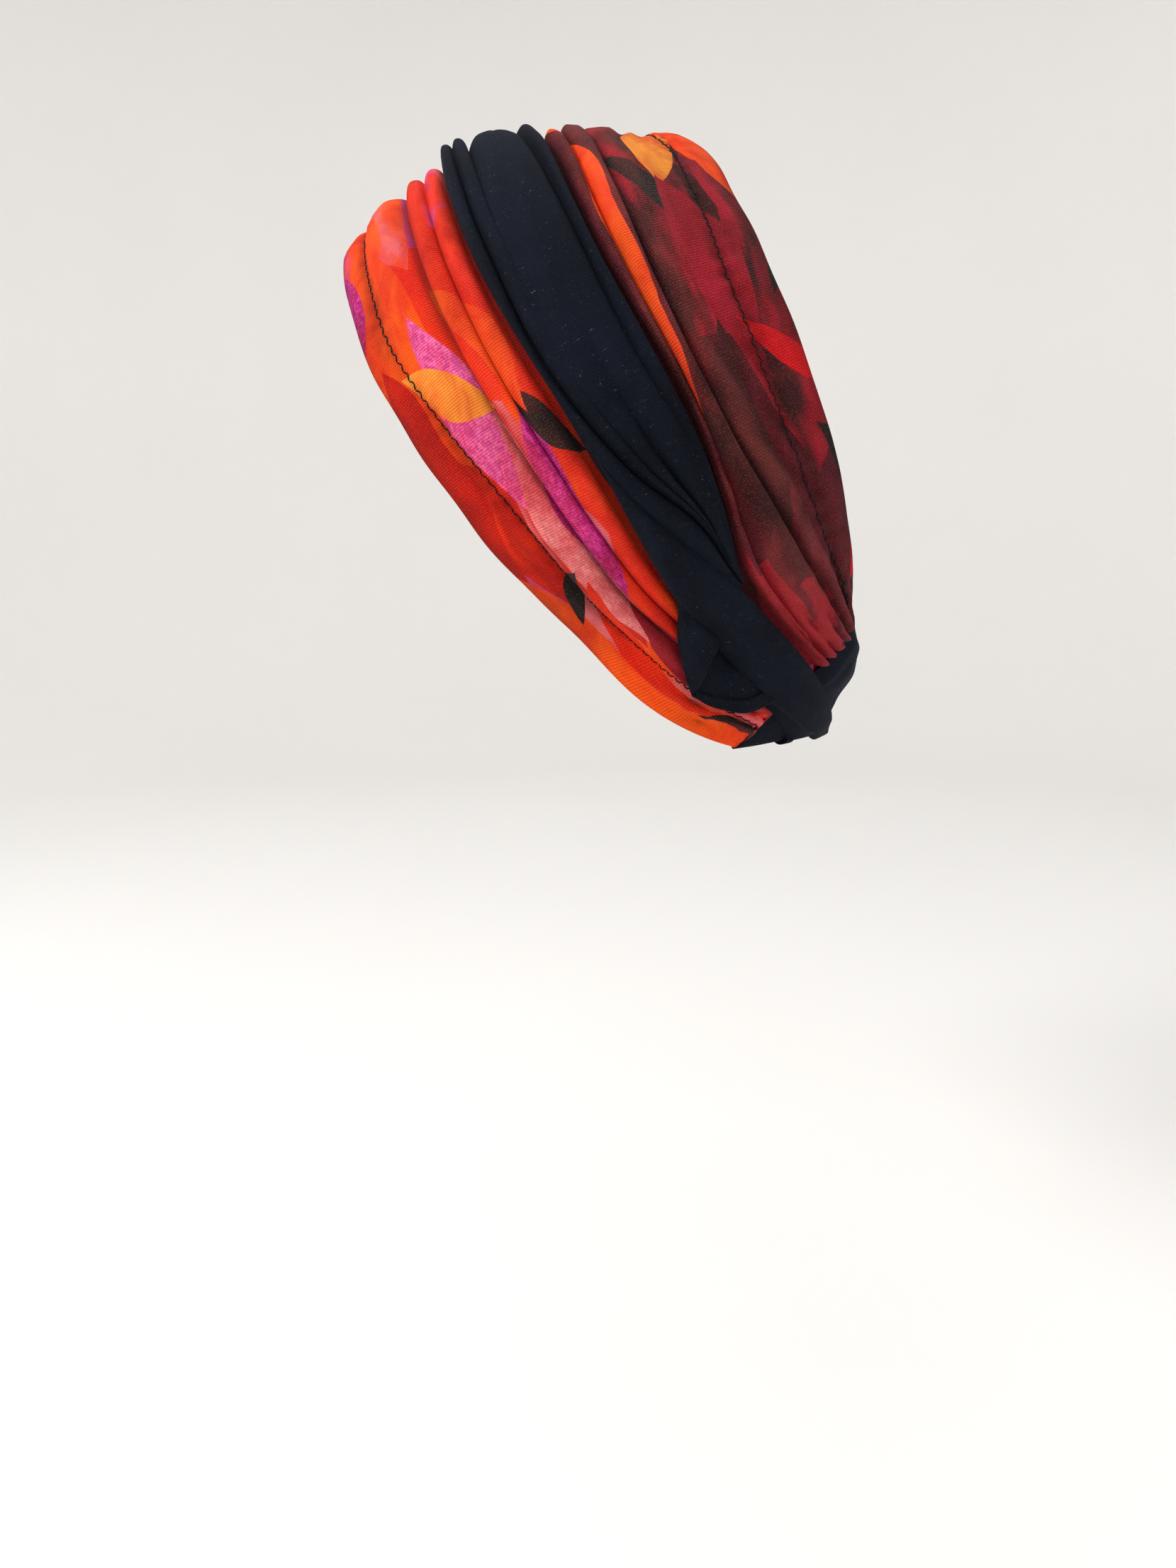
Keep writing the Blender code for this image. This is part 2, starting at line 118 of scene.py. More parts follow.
# Folds that run along a piece. A place is the share of the way from the band's front edge to its
# back edge, a height is that of the cloth's outer face in millimetres, and each has a value at
# every station. Over is how far the fold hangs over the next valley, in millimetres, which the
# lead scales up, and steps are the mesh columns up to the next fold.
Fold = namedtuple("Fold", "name place height over steps")
OVER_LEAD = 1.4
BAND_STATION_AT = (0.00, 0.36, 0.67, 0.84, 1.00)
BAND_FOLDS = (
    Fold("front_edge", (0.003, 0.003, 0.003, 0.003, 0.003), (2.0, 1.9, 1.9, 1.9, 2.2), 0.0, 3),
    Fold("front_hem", (0.045, 0.036, 0.062, 0.070, 0.075), (2.9, 2.5, 2.6, 2.8, 2.6), 0.0, 4),
    Fold("front_stitch", (0.090, 0.070, 0.125, 0.137, 0.150), (1.8, 1.8, 1.8, 1.9, 2.2), 0.0, 4),
    Fold("ridge_a", (0.150, 0.140, 0.172, 0.172, 0.178), (5.0, 3.8, 4.6, 4.8, 3.2), 0.5, 7),
    Fold("valley_a", (0.215, 0.210, 0.226, 0.238, 0.262), (1.4, 1.5, 1.4, 1.4, 2.0), 0.0, 5),
    Fold("ridge_b", (0.245, 0.240, 0.255, 0.270, 0.300), (5.2, 4.5, 5.0, 4.2, 4.0), 0.5, 5),
    Fold("trough_b", (0.275, 0.265, 0.280, 0.300, 0.325), (2.4, 2.2, 2.0, 1.8, 2.2), 0.0, 5),
    Fold("ridge_c", (0.305, 0.293, 0.318, 0.330, 0.350), (5.4, 5.0, 5.0, 3.9, 3.6), 0.3, 5),
    Fold("bed_front", (0.335, 0.322, 0.355, 0.360, 0.375), (1.5, 1.5, 1.5, 1.5, 2.0), 0.0, 7),
    Fold("bed_back", (0.614, 0.604, 0.646, 0.605, 0.610), (1.5, 1.5, 1.5, 1.5, 2.0), 0.0, 4),
    Fold("roll_d", (0.638, 0.622, 0.657, 0.628, 0.640), (5.4, 5.0, 4.0, 5.0, 5.6), 0.4, 5),
    Fold("valley_d", (0.660, 0.640, 0.669, 0.650, 0.668), (1.9, 1.9, 2.2, 2.0, 2.6), 0.0, 5),
    Fold("ridge_e", (0.682, 0.667, 0.692, 0.724, 0.750), (6.2, 5.8, 6.2, 6.8, 5.2), 1.3, 7),
    Fold("valley_e", (0.705, 0.693, 0.715, 0.797, 0.835), (1.5, 1.5, 1.4, 1.4, 2.4), 0.0, 5),
    Fold("ridge_f", (0.745, 0.730, 0.745, 0.832, 0.880), (5.2, 4.4, 4.8, 5.0, 3.4), 0.4, 7),
    Fold("back_panel", (0.820, 0.810, 0.812, 0.868, 0.915), (3.4, 2.8, 2.8, 2.8, 2.5), 0.0, 5),
    Fold("back_stitch", (0.900, 0.888, 0.870, 0.895, 0.945), (2.4, 1.9, 1.9, 2.0, 2.3), 0.0, 3),
    Fold("back_hem", (0.950, 0.944, 0.935, 0.948, 0.972), (3.7, 2.8, 2.8, 2.7, 2.4), 0.0, 3),
    Fold("back_edge", (0.997, 0.997, 0.997, 0.997, 0.997), (2.7, 1.9, 1.9, 1.9, 1.9), 0.0, 1),
)

# The tie strap's folds, from the right seam over the crown to the pinch, placed in the same way.
# The strap falls to its foot over a short end at the seam, and its small waves die out where it
# is quiet, towards the pinch.
STRAP_START = -0.995
STRAP_END = 0.025
STRAP_FOOT = 4.4 * MM
STRAP_PINCH = 0.83
STRAP_QUIET_FROM = 0.60
STRAP_TURNED_COLUMNS = 5
STRAP_STATION_AT = (-1.00, -0.65, 0.00, 0.36, 0.56, 0.66, 0.74, 0.83)
STRAP_FOLDS = (
    Fold("front_edge", (0.400, 0.364, 0.345, 0.331, 0.364, 0.378, 0.430, 0.520),
         (4.4, 4.4, 6.6, 4.6, 4.0, 3.2, 3.2, 3.8), 0.0, 4),
    Fold("tongue", (0.410, 0.377, 0.360, 0.348, 0.378, 0.428, 0.511, 0.562),
         (5.8, 6.3, 9.8, 7.6, 6.9, 7.9, 8.4, 7.4), 0.2, 7),
    Fold("fold_1", (0.422, 0.392, 0.380, 0.366, 0.390, 0.449, 0.540, 0.5645),
         (4.8, 4.8, 8.2, 4.4, 4.0, 3.8, 4.0, 4.8), 0.0, 6),
    Fold("left_panel", (0.438, 0.408, 0.396, 0.388, 0.412, 0.470, 0.550, 0.5660),
         (6.6, 7.0, 9.8, 7.5, 7.3, 7.6, 7.2, 6.2), 0.5, 6),
    Fold("groove", (0.452, 0.426, 0.416, 0.406, 0.430, 0.486, 0.5540, 0.5668),
         (5.4, 6.4, 4.4, 7.1, 7.1, 6.2, 5.2, 5.2), 0.0, 7),
    Fold("middle", (0.485, 0.470, 0.458, 0.440, 0.458, 0.504, 0.5580, 0.5676),
         (6.8, 7.4, 8.8, 7.8, 7.9, 8.1, 7.6, 6.5), 0.4, 7),
    Fold("fold_2", (0.505, 0.500, 0.490, 0.480, 0.496, 0.522, 0.5610, 0.5684),
         (6.3, 7.1, 7.9, 7.4, 6.8, 5.0, 4.4, 4.8), 0.0, 7),
    Fold("right_panel", (0.525, 0.528, 0.510, 0.520, 0.545, 0.566, 0.5740, 0.5700),
         (6.7, 7.2, 7.6, 7.8, 8.1, 8.4, 8.0, 6.8), 0.4, 7),
    Fold("roll_fold", (0.545, 0.556, 0.530, 0.564, 0.580, 0.604, 0.5970, 0.5720),
         (5.0, 5.2, 4.4, 4.6, 5.8, 6.6, 6.8, 6.2), 0.0, 5),
    Fold("right_roll", (0.565, 0.573, 0.562, 0.577, 0.602, 0.618, 0.6070, 0.5745),
         (6.2, 6.6, 7.4, 7.1, 6.8, 6.7, 6.4, 5.8), 0.3, 5),
    Fold("back_edge", (0.585, 0.588, 0.598, 0.590, 0.621, 0.631, 0.6180, 0.5775),
         (4.4, 4.4, 4.4, 4.4, 4.2, 4.2, 4.4, 4.4), 0.0, 1),
)

# The nape band: the leans of its edges at the middle of the nape, its roll and wall, and the
# puff that rises and falls across it and is pressed flat at the seams
NAPE_FRONT_LEAN = 8.2
NAPE_BACK_LEAN = 23.0
NAPE_EDGE_HEIGHT = 2.8 * MM
NAPE_ROLL_HEIGHT = 0.8 * MM
NAPE_ROLL_CURVE = 4
NAPE_WALL = 2.6 * MM
NAPE_PUFF = 2.6 * MM
NAPE_PUFF_AT = (0.30, 0.60, 0.80)
NAPE_PUFF_SEAM = 0.10
NAPE_ROLL_SHARE = 0.42
NAPE_TURNED_COLUMNS = 12
NAPE_LENGTH = 120 * MM
NAPE_WIDTH = 50 * MM
NAPE_QUIET_MIDDLE = 0.35
NAPE_QUIET_EDGE_CURVE = 6

# The wrap, a row for each station of its run: both sides in turn and lean, and the heights in
# millimetres of its sides and of its crest. Its round is the angle that each arc goes to.
Crossing = namedtuple("Crossing", "front_turn front_lean back_turn back_lean side crest")
WRAP_RUN = (
    Crossing(96.5, -6.5, 96.6, -6.1, 4.6, 5.4),
    Crossing(104.0, -6.7, 103.6, -4.9, 4.8, 6.6),
    Crossing(110.5, -6.6, 111.3, -2.7, 4.8, 7.5),
    Crossing(117.5, -6.4, 118.4, 0.4, 4.8, 8.5),
    Crossing(124.5, -6.0, 124.8, 3.1, 4.9, 9.3),
    Crossing(131.5, -5.3, 132.4, 5.7, 5.0, 9.8),
    Crossing(139.5, -3.9, 141.0, 7.6, 5.0, 9.8),
    Crossing(147.0, -2.1, 150.0, 9.1, 5.2, 9.4),
    Crossing(152.5, -0.5, 157.5, 9.8, 5.4, 8.8),
    Crossing(157.5, 0.3, 164.8, 9.8, 5.4, 7.9),
    Crossing(161.6, 0.9, 172.2, 8.9, 5.2, 6.8),
)
WRAP_ROUND = 128.0
WRAP_UNDERSIDE = 2.6 * MM
WRAP_TIP = 8 * MM

# The crease that crosses the wrap's end: its place across at some rows of the run and at both
# ends of the turn-in, and how far the layer beside it lies lower
LAP_ROWS = (7.6, 9.0, 10.0)
LAP_AT = (-0.04, 0.17, 0.38)
LAP_TURN_AT = (0.52, 0.98)
LAP_RAMP = 0.05
LAP_DEPTH = 2.0 * MM

# The turn of the wrap in under the nape band's front edge: the shares of the nape band's length
# that it takes up, its radius at either end, and how far in it reaches
TUCK_SHARES = (0.14, 0.40)
TUCK_RADIUS = (4.0 * MM, 2.8 * MM)
TUCK_LEAST_RADIUS = 2.2 * MM
TUCK_CURL = 0.25
TUCK_REACH = 0.28
EDGE_SHARE = 0.01

# The folded tail beside the wrap, in turn and lean: a pocket whose mouth stands open
TAIL_TOP = (127.0, -3.7)
TAIL_CORNER = (146.6, -10.6)
TAIL_MOUTH = (140.6, -0.4)
TAIL_RIM = (155.8, 1.4)
TAIL_MOUTH_SAG = -1.2
TAIL_RIM_SAG = 1.7
TAIL_SIDE_BOW = 1.2
TAIL_BOW_CURVE = 1.4
TAIL_SAG_CURVE = 3
TAIL_START = 0.14
TAIL_TURN_SHARE = 0.10
TAIL_FOLD_HEIGHT = 5.0 * MM
TAIL_FLOOR_HEIGHT = 3.6 * MM
TAIL_SUNK_TO = 0.35
TAIL_RIM_RISE = 2.2 * MM
TAIL_RIM_FROM = 0.70
TAIL_RIM_SPAN = (0.05, 0.30)
TAIL_OPEN_HEIGHT = (1.6 * MM, 5.6 * MM)
TAIL_OPEN_CURVE = 1.5
TAIL_OPEN_FROM = 0.30
TAIL_UNDER_WRAP = 0.62
TAIL_HEM = 0.7 * MM
TAIL_HEM_ROWS = 5
TAIL_REST = (145.5, -6.6)
TAIL_REST_SPREAD = (9.0, 5.5)
PRESSED_HEIGHT = 2.3 * MM

# Small waves of the cloth: their range of lengths along and across it, and their depth
Wave = namedtuple("Wave", "seed along across depth")
BAND_WAVE = Wave(3, (60 * MM, 140 * MM), (5 * MM, 12 * MM), 0.28 * MM)
BAND_EDGE_WAVE = Wave(5, (35 * MM, 90 * MM), (200 * MM, 400 * MM), 0.30 * MM)
STITCH_PUCKER = Wave(7, (5 * MM, 11 * MM), (300 * MM, 500 * MM), 0.16 * MM)
STRAP_WAVE = Wave(11, (50 * MM, 120 * MM), (6 * MM, 14 * MM), 0.22 * MM)
WRAP_WAVE = Wave(13, (30 * MM, 70 * MM), (9 * MM, 20 * MM), 0.30 * MM)
NAPE_WAVE = Wave(17, (12 * MM, 26 * MM), (30 * MM, 80 * MM), 0.30 * MM)
TAIL_WAVE = Wave(19, (12 * MM, 26 * MM), (8 * MM, 20 * MM), 0.35 * MM)
WAVE_PARTS = 9

# The band's small waves die out at both edges, within these shares of its width, and the
# sideways ones are felt past these shares from its middle
EDGE_HOLD = (0.10, 0.08)
EDGE_WAVE_FROM = (0.35, 0.50)
PUCKER_REACH = 4.0 * MM

# Gathers at the nape seams: how many across the band, where they start, how deep they get, and
# how they sway along it, each sway with its size and its pace
GATHER_COUNT = 15
GATHER_FROM = 0.80
GATHER_DEPTH = 3.2 * MM
GATHER_MIDDLE = 0.6
GATHER_SWAY = ((0.35, 9.0), (0.20, 23.0))
SEAM_GATHER_FROM = 0.92
SEAM_GATHER_DEPTH = 2.4 * MM

# Under the strap the gathers are nearly flat
BED_FRONT = (0.33, 0.40)
BED_BACK = (0.58, 0.63)
BED_FLATNESS = 0.8

# Ends of the gathered pleats. In front of the strap they run out long and flat, and behind it
# they end short and round and hang over the nape band. A pair of heights is that in front and
# that behind, and an overhang or overlap is in degrees of turn.
PLEAT_ROUNDNESS = 0.8
PLEAT_BEHIND = (0.52, 0.68)
PLEAT_END = 0.010
PLEAT_LONG_END = 4.0
PLEAT_FOOT = (3.6 * MM, 1.6 * MM)
PLEAT_FROM = 0.93
PLEAT_BLUNTNESS = 0.35
PLEAT_OVERHANG = 0.62
PLEAT_HOLD = (0.30, 0.70)
PLEAT_HOLD_BACK = 0.16
SEAM_OVERLAP = 0.45
SEAM_CORNER = 0.10
SEAM_CORNER_FOOT = 2.7 * MM

# The hem's thread: mesh steps in a stitch, band stations left free at its ends, its lowest
# place over the cloth and how far it rises from there, in thread radii
THREAD_STEPS = 12
THREAD_INSET = 2
THREAD_DIP = -0.4
THREAD_RISE = 1.3

# The studio's floor, which turns up into a round wall
SWEEP_FLOOR = 1.4
SWEEP_BEND = 0.8
SWEEP_HEIGHT = 2.0
SWEEP_SIDES = 96
SWEEP_STEPS = 20

# The lights, each with its share of the key light's power, and what they face
Lamp = namedtuple("Lamp", "name place size share")
LAMPS = (
    Lamp("key_light", (0.50, -0.95, 0.70), 0.5, 1.0),
    Lamp("fill_light", (1.06, 0.94, 0.40), 1.0, 0.32),
    Lamp("top_light", (-0.3, 0.0, 1.9), 1.8, 1.0),
)
LIGHT_AIM = (0.02, 0.0, -0.09)
AIR_COLOUR = (0.97, 0.98, 1.0, 1.0)

# The camera looks along -X, from a little in front of the middle
CAMERA_FORWARD = -4.2 * MM
SENSOR_WIDTH = 36.0
CLIP_START = 0.01

# Heights of the folds' valleys and crests, which a piece's painted shade in the valleys and paling on the
# crests go by
VALLEY_TO_CREST = (0.8 * MM, 5.4 * MM)
STRAP_VALLEY_TO_CREST = (3.0 * MM, 7.6 * MM)
TAIL_VALLEY_TO_CREST = (2.0 * MM, 6.5 * MM)

# Widths of the flat cloth in metres, which the knit and the print are laid out on
BAND_FLAT_WIDTH = 0.26
STRAP_FLAT_WIDTH = 0.085
WRAP_FLAT_WIDTH = 0.050
NAPE_FLAT_WIDTH = 0.060
TAIL_FLAT_WIDTH = 0.042


def smooth_through(stations, values, at):
    """Cubic curve through the stations, level at the first one."""
    stations = np.asarray(stations, dtype=float)
    values = np.asarray(values, dtype=float)
    slope = np.gradient(values, stations)
    slope[0] = 0.0
    at = np.clip(at, stations[0], stations[-1])
    cell = np.clip(np.searchsorted(stations, at, side="right") - 1, 0, len(stations) - 2)
    span = stations[cell + 1] - stations[cell]
    share = (at - stations[cell]) / span
    rest = 1.0 - share
    start = values[cell] * (1.0 + 2.0 * share) * rest**2
    start += slope[cell] * span * share * rest**2
    end = values[cell + 1] * (1.0 + 2.0 * rest) * share**2
    end -= slope[cell + 1] * span * rest * share**2
    return start + end


def smooth_step(low, high, at):
    """0 below low, 1 above high, and a smooth ramp between them."""
    share = np.clip((at - low) / (high - low), 0.0, 1.0)
    return share * share * (3.0 - 2.0 * share)


def mix(start, end, share):
    """The value that lies at a share of the way from start to end."""
    return start + (end - start) * share


def ring_direction(turn, lean):
    """Unit vectors for arrays of turn and lean in degrees."""
    turn, lean, tilt = np.radians(turn), np.radians(lean), math.radians(RING_TILT)
    along_crown = np.cos(lean) * np.cos(turn)
    side = np.cos(lean) * np.sin(turn)
    across = np.sin(lean)
    back = across * math.sin(tilt) - along_crown * math.cos(tilt)
    up = across * math.cos(tilt) + along_crown * math.sin(tilt)
    return np.stack([side, back, up], axis=-1)


def ellipsoid_reach(direction, centre, half_axes):
    """Distance from the middle of the hollow to an ellipsoid around it."""
    scaled = direction / half_axes
    offset = -centre / half_axes
    square = (scaled * scaled).sum(-1)
    cross = (scaled * offset).sum(-1)
    rest = (offset * offset).sum(-1) - 1.0
    return (np.sqrt(cross * cross - square * rest) - cross) / square


def hollow_reach(direction):
    """Distance from the middle of the hollow to its wall, smooth where the two forms meet."""
    upper_axes = np.array([HOLLOW_HALF_WIDTH, HOLLOW_HALF_LENGTH, HOLLOW_HALF_HEIGHT])
    lower_axes = np.array([NAPE_HALF_WIDTH, NAPE_HALF_LENGTH, NAPE_HALF_HEIGHT])
    lower_centre = np.array([0.0, NAPE_CENTRE_BACK, -NAPE_CENTRE_DOWN])
    upper = ellipsoid_reach(direction, np.zeros(3), upper_axes)
    lower = ellipsoid_reach(direction, lower_centre, lower_axes)
    return (upper**HOLLOW_BLEND + lower**HOLLOW_BLEND) ** (1.0 / HOLLOW_BLEND)


def cloth_lift(turn, lean):
    """How far the cloth bridges the hollow: at the nape, and behind the crown."""
    around = smooth_step(NAPE_LIFT_FROM, 180.0, turn)
    across = np.exp(-(((lean - NAPE_LIFT_LEAN) / NAPE_LIFT_SPREAD) ** 2))
    crown = smooth_step(CROWN_LIFT_LEAN[0], CROWN_LIFT_LEAN[1], lean)
    crown = crown * (1.0 - smooth_step(0.0, CROWN_LIFT_TO, turn))
    return NAPE_LIFT * around * across + CROWN_LIFT * crown


def base_point(turn, lean):
    """Points on the hollow as the cloth bridges it; turns past 180 are on the other side."""
    direction = ring_direction(turn, lean)
    short_turn = 180.0 - np.abs(180.0 - np.abs(turn))
    reach = hollow_reach(direction) + cloth_lift(short_turn, lean)
    points = direction * reach[..., None]
    points[..., 2] -= HOLLOW_HALF_HEIGHT
    return points


def ring_point(turn, lean, height):
    """Points at a height above the bridged hollow, counted along its normal."""
    step = NORMAL_STEP
    turn, lean, height = np.broadcast_arrays(turn, lean, height)
    along = base_point(turn + step, lean) - base_point(turn - step, lean)
    across = base_point(turn, lean + step) - base_point(turn, lean - step)
    normal = np.cross(along, across)
    normal /= np.linalg.norm(normal, axis=-1, keepdims=True)
    return base_point(turn, lean) + normal * height[..., None]


def edge_leans(along):
    """Leans of the printed band's front and back edges."""
    distance = np.abs(along)
    stations = [edge.along for edge in BAND_EDGES]
    front_lean = smooth_through(stations, [edge.front_lean for edge in BAND_EDGES], distance)
    back_lean = smooth_through(stations, [edge.back_lean for edge in BAND_EDGES], distance)
    return front_lean, back_lean


def band_place(along, across):
    """Turn and lean of a place on the printed band; along runs from -1 to 1, seam to seam."""
    front_lean, back_lean = edge_leans(along)
    turn = along * mix(SEAM_FRONT_TURN, SEAM_BACK_TURN, across**2)
    return turn, mix(front_lean, back_lean, across)


def band_width(along):
    """Width of the printed band in metres, along its surface."""
    front_lean, back_lean = edge_leans(along)
    return np.radians(back_lean - front_lean) * HOLLOW_HALF_LENGTH


def ripple(wave, along, across):
    """Small waves: a sum of cosines with seeded lengths and phases, within the wave's depth."""
    source = np.random.default_rng(wave.seed)
    total = 0.0
    for _ in range(WAVE_PARTS):
        long_side = source.uniform(*wave.along) * source.choice((-1.0, 1.0))
        short_side = source.uniform(*wave.across)
        phase = source.uniform(0.0, 2.0 * np.pi)
        total = total + np.cos(2.0 * np.pi * (along / long_side + across / short_side) + phase)
    return wave.depth * total / math.sqrt(WAVE_PARTS)


def fold_profile(folds, stations, at, width):
    """Places and heights of the mesh columns across a folded piece.

    Between two folds the place goes evenly and the height follows a quarter round, so crests
    are round and valleys are creased. Past an overhanging crest the place runs ahead of that
    and comes back, by the fold's over at most.
    """
    tracks = []
    for fold in folds:
        place = smooth_through(stations, fold.place, at)
        tracks.append((place, smooth_through(stations, fold.height, at) * MM))
    places = []
    heights = []
    for fold, (place, height), (next_place, next_height) in zip(folds, tracks, tracks[1:]):
        for step in range(fold.steps):
            share = step / fold.steps
            quarter = np.where(next_height > height, 1.0 - (1.0 - share) ** 2, share**2)
            ahead = fold.over * MM / width * math.sin(math.pi * share) * OVER_LEAD
            places.append(mix(place, next_place, share) + ahead)
            heights.append(mix(height, next_height, quarter))
    places.append(tracks[-1][0])
    heights.append(tracks[-1][1])
    return np.array(places), np.array(heights)


def column_of(folds, name):
    """Index of the mesh column that runs along a fold."""
    index = 0
    for fold in folds:
        if fold.name == name:
            return index
        index += fold.steps
    raise ValueError(name)


def surface_normals(points):
    """Outward unit normals of a grid whose first index runs across and second along."""
    across = np.gradient(points, axis=0)
    along = np.gradient(points, axis=1)
    normals = np.cross(along, across)
    return normals / np.maximum(np.linalg.norm(normals, axis=-1, keepdims=True), 1e-12)


def rolled_edge(points, normals, radius, rows):
    """Rows that carry on past the first row: a half turn under it, and a layer below it.

    A point of the turn is the edge's own point less the radius along the normal, plus the
    radius at an angle between the normal and the direction away from the cloth.
    """
    inland = points[1] - points[0]
    inland -= normals[0] * (inland * normals[0]).sum(-1, keepdims=True)
    inland /= np.linalg.norm(inland, axis=-1, keepdims=True)
    centre = points[0] - normals[0] * radius
    under = [points[row] - normals[row] * 2.0 * radius for row in range(rows, 0, -1)]
    for angle in np.linspace(np.pi, 0.0, CURL_STEPS, endpoint=False):
        under.append(centre + radius * (normals[0] * math.cos(angle) - inland * math.sin(angle)))
    return np.array(under)


def with_rolled_edges(points, radius, front_rows, back_rows):
    """The grid with both long edges turned under."""
    normals = surface_normals(points)
    front = rolled_edge(points, normals, radius, front_rows)
    back = rolled_edge(points[::-1], normals[::-1], radius, back_rows)[::-1]
    return np.concatenate([front, points, back])


def cloth_uv(points, flat_width):
    """Places on the flat cloth: metres along its middle, and across it with the folds let out."""
    middle = points[points.shape[0] // 2]
    steps = np.linalg.norm(np.diff(middle, axis=0), axis=-1)
    along = np.concatenate([[0.0], np.cumsum(steps)])
    steps = np.linalg.norm(np.diff(points, axis=0), axis=-1)
    across = np.concatenate([np.zeros((1, points.shape[1])), np.cumsum(steps, axis=0)])
    across = across / across[-1:] * flat_width
    return np.stack([np.broadcast_to(along, across.shape), across], axis=-1)


def grid_faces(rows, columns):
    """Quads of a grid, wound so that they point outwards."""
    index = np.arange(rows * columns).reshape(rows, columns)
    corners = [index[:-1, :-1], index[:-1, 1:], index[1:, 1:], index[1:, :-1]]
    return np.stack(corners, axis=-1).reshape(-1, 4)


def height_above(points):
    """Height of points over the bridged hollow, counted towards its middle."""
    tilt = math.radians(RING_TILT)
    place = points + np.array([0.0, 0.0, HOLLOW_HALF_HEIGHT])
    reach = np.linalg.norm(place, axis=-1)
    direction = place / reach[..., None]
    along_crown = direction[..., 2] * math.sin(tilt) - direction[..., 1] * math.cos(tilt)
    across = direction[..., 1] * math.sin(tilt) + direction[..., 2] * math.cos(tilt)
    turn = np.degrees(np.arctan2(np.abs(direction[..., 0]), along_crown))
    lean = np.degrees(np.arcsin(across))
    return reach - hollow_reach(direction) - cloth_lift(turn, lean)


def finished_piece(name, points, faces, uv_faces, uv, materials, relief=VALLEY_TO_CREST):
    """Mesh object riding on the body, with a cloth UV map and a crest attribute.

    The crest attribute is 0 in the fold's valleys and 1 on its crests: the height over the
    hollow as a share of the way between the relief's two heights. The materials paint shade
    in the valleys and sheen on the crests by it.
    """
    mesh = bpy.data.meshes.new(name)
    mesh.from_pydata(points.reshape(-1, 3).tolist(), [], faces)
    corners = np.array([corner for face in uv_faces for corner in face])
    layer = mesh.uv_layers.new(name="cloth")
    layer.data.foreach_set("uv", uv.reshape(-1, 2)[corners].astype(np.float32).ravel())
    crest = mesh.attributes.new("crest", "FLOAT", "POINT")
    share = smooth_step(relief[0], relief[1], height_above(points))
    crest.data.foreach_set("value", share.astype(np.float32).ravel())
    mesh.shade_smooth()
    for material in materials:
        mesh.materials.append(material)
    piece = bpy.data.objects.new(name, mesh)
    bpy.context.scene.collection.objects.link(piece)
    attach(piece, BODY)
    return piece


def cloth_sheet(name, points, flat_width, wall, materials, relief=VALLEY_TO_CREST):
    """A grid of points as a sheet of cloth, given its wall by a Solidify modifier."""
    faces = grid_faces(*points.shape[:2]).tolist()
    uv = cloth_uv(points, flat_width)
    piece = finished_piece(name, points, faces, faces, uv, materials, relief)
    solidify = piece.modifiers.new("wall", "SOLIDIFY")
    solidify.thickness = wall
    solidify.offset = -1.0
    solidify.material_offset = len(materials) - 1
    return piece


def with_band_waves(settings, heights, places, width, length, edge_hold):
    """Heights with the band's small waves, and with puckers beside its rows of stitches."""
    breadth = places * width
    heights = heights + settings.wave_share * ripple(BAND_WAVE, length, breadth) * edge_hold
    for name in ("front_stitch", "back_stitch"):
        row = column_of(BAND_FOLDS, name)
        near = np.exp(-(((places - places[row]) * width / PUCKER_REACH) ** 2))
        heights = heights + settings.wave_share * ripple(STITCH_PUCKER, length, breadth) * near
    return heights


def gather_pleats(places, distance):
    """Round hump of each gather: 0 between two pleats and 1 on a crest."""
    sway = sum(size * np.sin(distance * pace) for size, pace in GATHER_SWAY)
    cell = (places * GATHER_COUNT + sway) % 1.0
    return np.clip(1.0 - (2.0 * cell - 1.0) ** 2, 0.0, 1.0) ** PLEAT_ROUNDNESS


def gather_depth(places, distance, gather):
    """Depth of the gathers, which deepen towards the seams and are shallow under the strap."""
    bed = smooth_step(*BED_FRONT, places) * (1.0 - smooth_step(*BED_BACK, places))
    depth = GATHER_DEPTH * gather + SEAM_GATHER_DEPTH * smooth_step(SEAM_GATHER_FROM, 1.0, distance)
    return depth * (1.0 - BED_FLATNESS * bed)


def pleat_ends(places, heights, distance, pleat):
    """Heights that fall like a quarter circle at the seams, and the turn by which they run over."""
    behind = smooth_step(*PLEAT_BEHIND, places)
    end = PLEAT_END * mix(PLEAT_LONG_END, 1.0, behind)
    fall = np.clip((distance - (1.0 - end)) / end, 0.0, 1.0)
    rounding = np.sqrt(np.clip(1.0 - fall**2, 0.0, 1.0))
    inland = smooth_step(0.0, SEAM_CORNER, places)
    foot = mix(mix(SEAM_CORNER_FOOT, PLEAT_FOOT[0], inland), PLEAT_FOOT[1], behind)
    overhang = PLEAT_OVERHANG * smooth_step(PLEAT_FROM, 1.0, distance) * pleat**PLEAT_BLUNTNESS
    overhang = overhang * smooth_step(*PLEAT_HOLD, places)
    overhang = overhang * smooth_step(0.0, PLEAT_HOLD_BACK, 1.0 - places)
    overlap = SEAM_OVERLAP * smooth_step(1.0 - 2.0 * PLEAT_END, 1.0, distance)
    overlap = overlap * (1.0 - behind) * inland
    return mix(foot, heights, rounding), overhang + overlap


def pressed_by_tail(turn, lean, heights):
    """Heights of the band, pressed down where the tail rests on it."""
    pressed = np.exp(-((turn - TAIL_REST[0]) / TAIL_REST_SPREAD[0]) ** 2)
    pressed = pressed * np.exp(-((lean - TAIL_REST[1]) / TAIL_REST_SPREAD[1]) ** 2)
    return heights - pressed * np.maximum(heights - PRESSED_HEIGHT, 0.0)


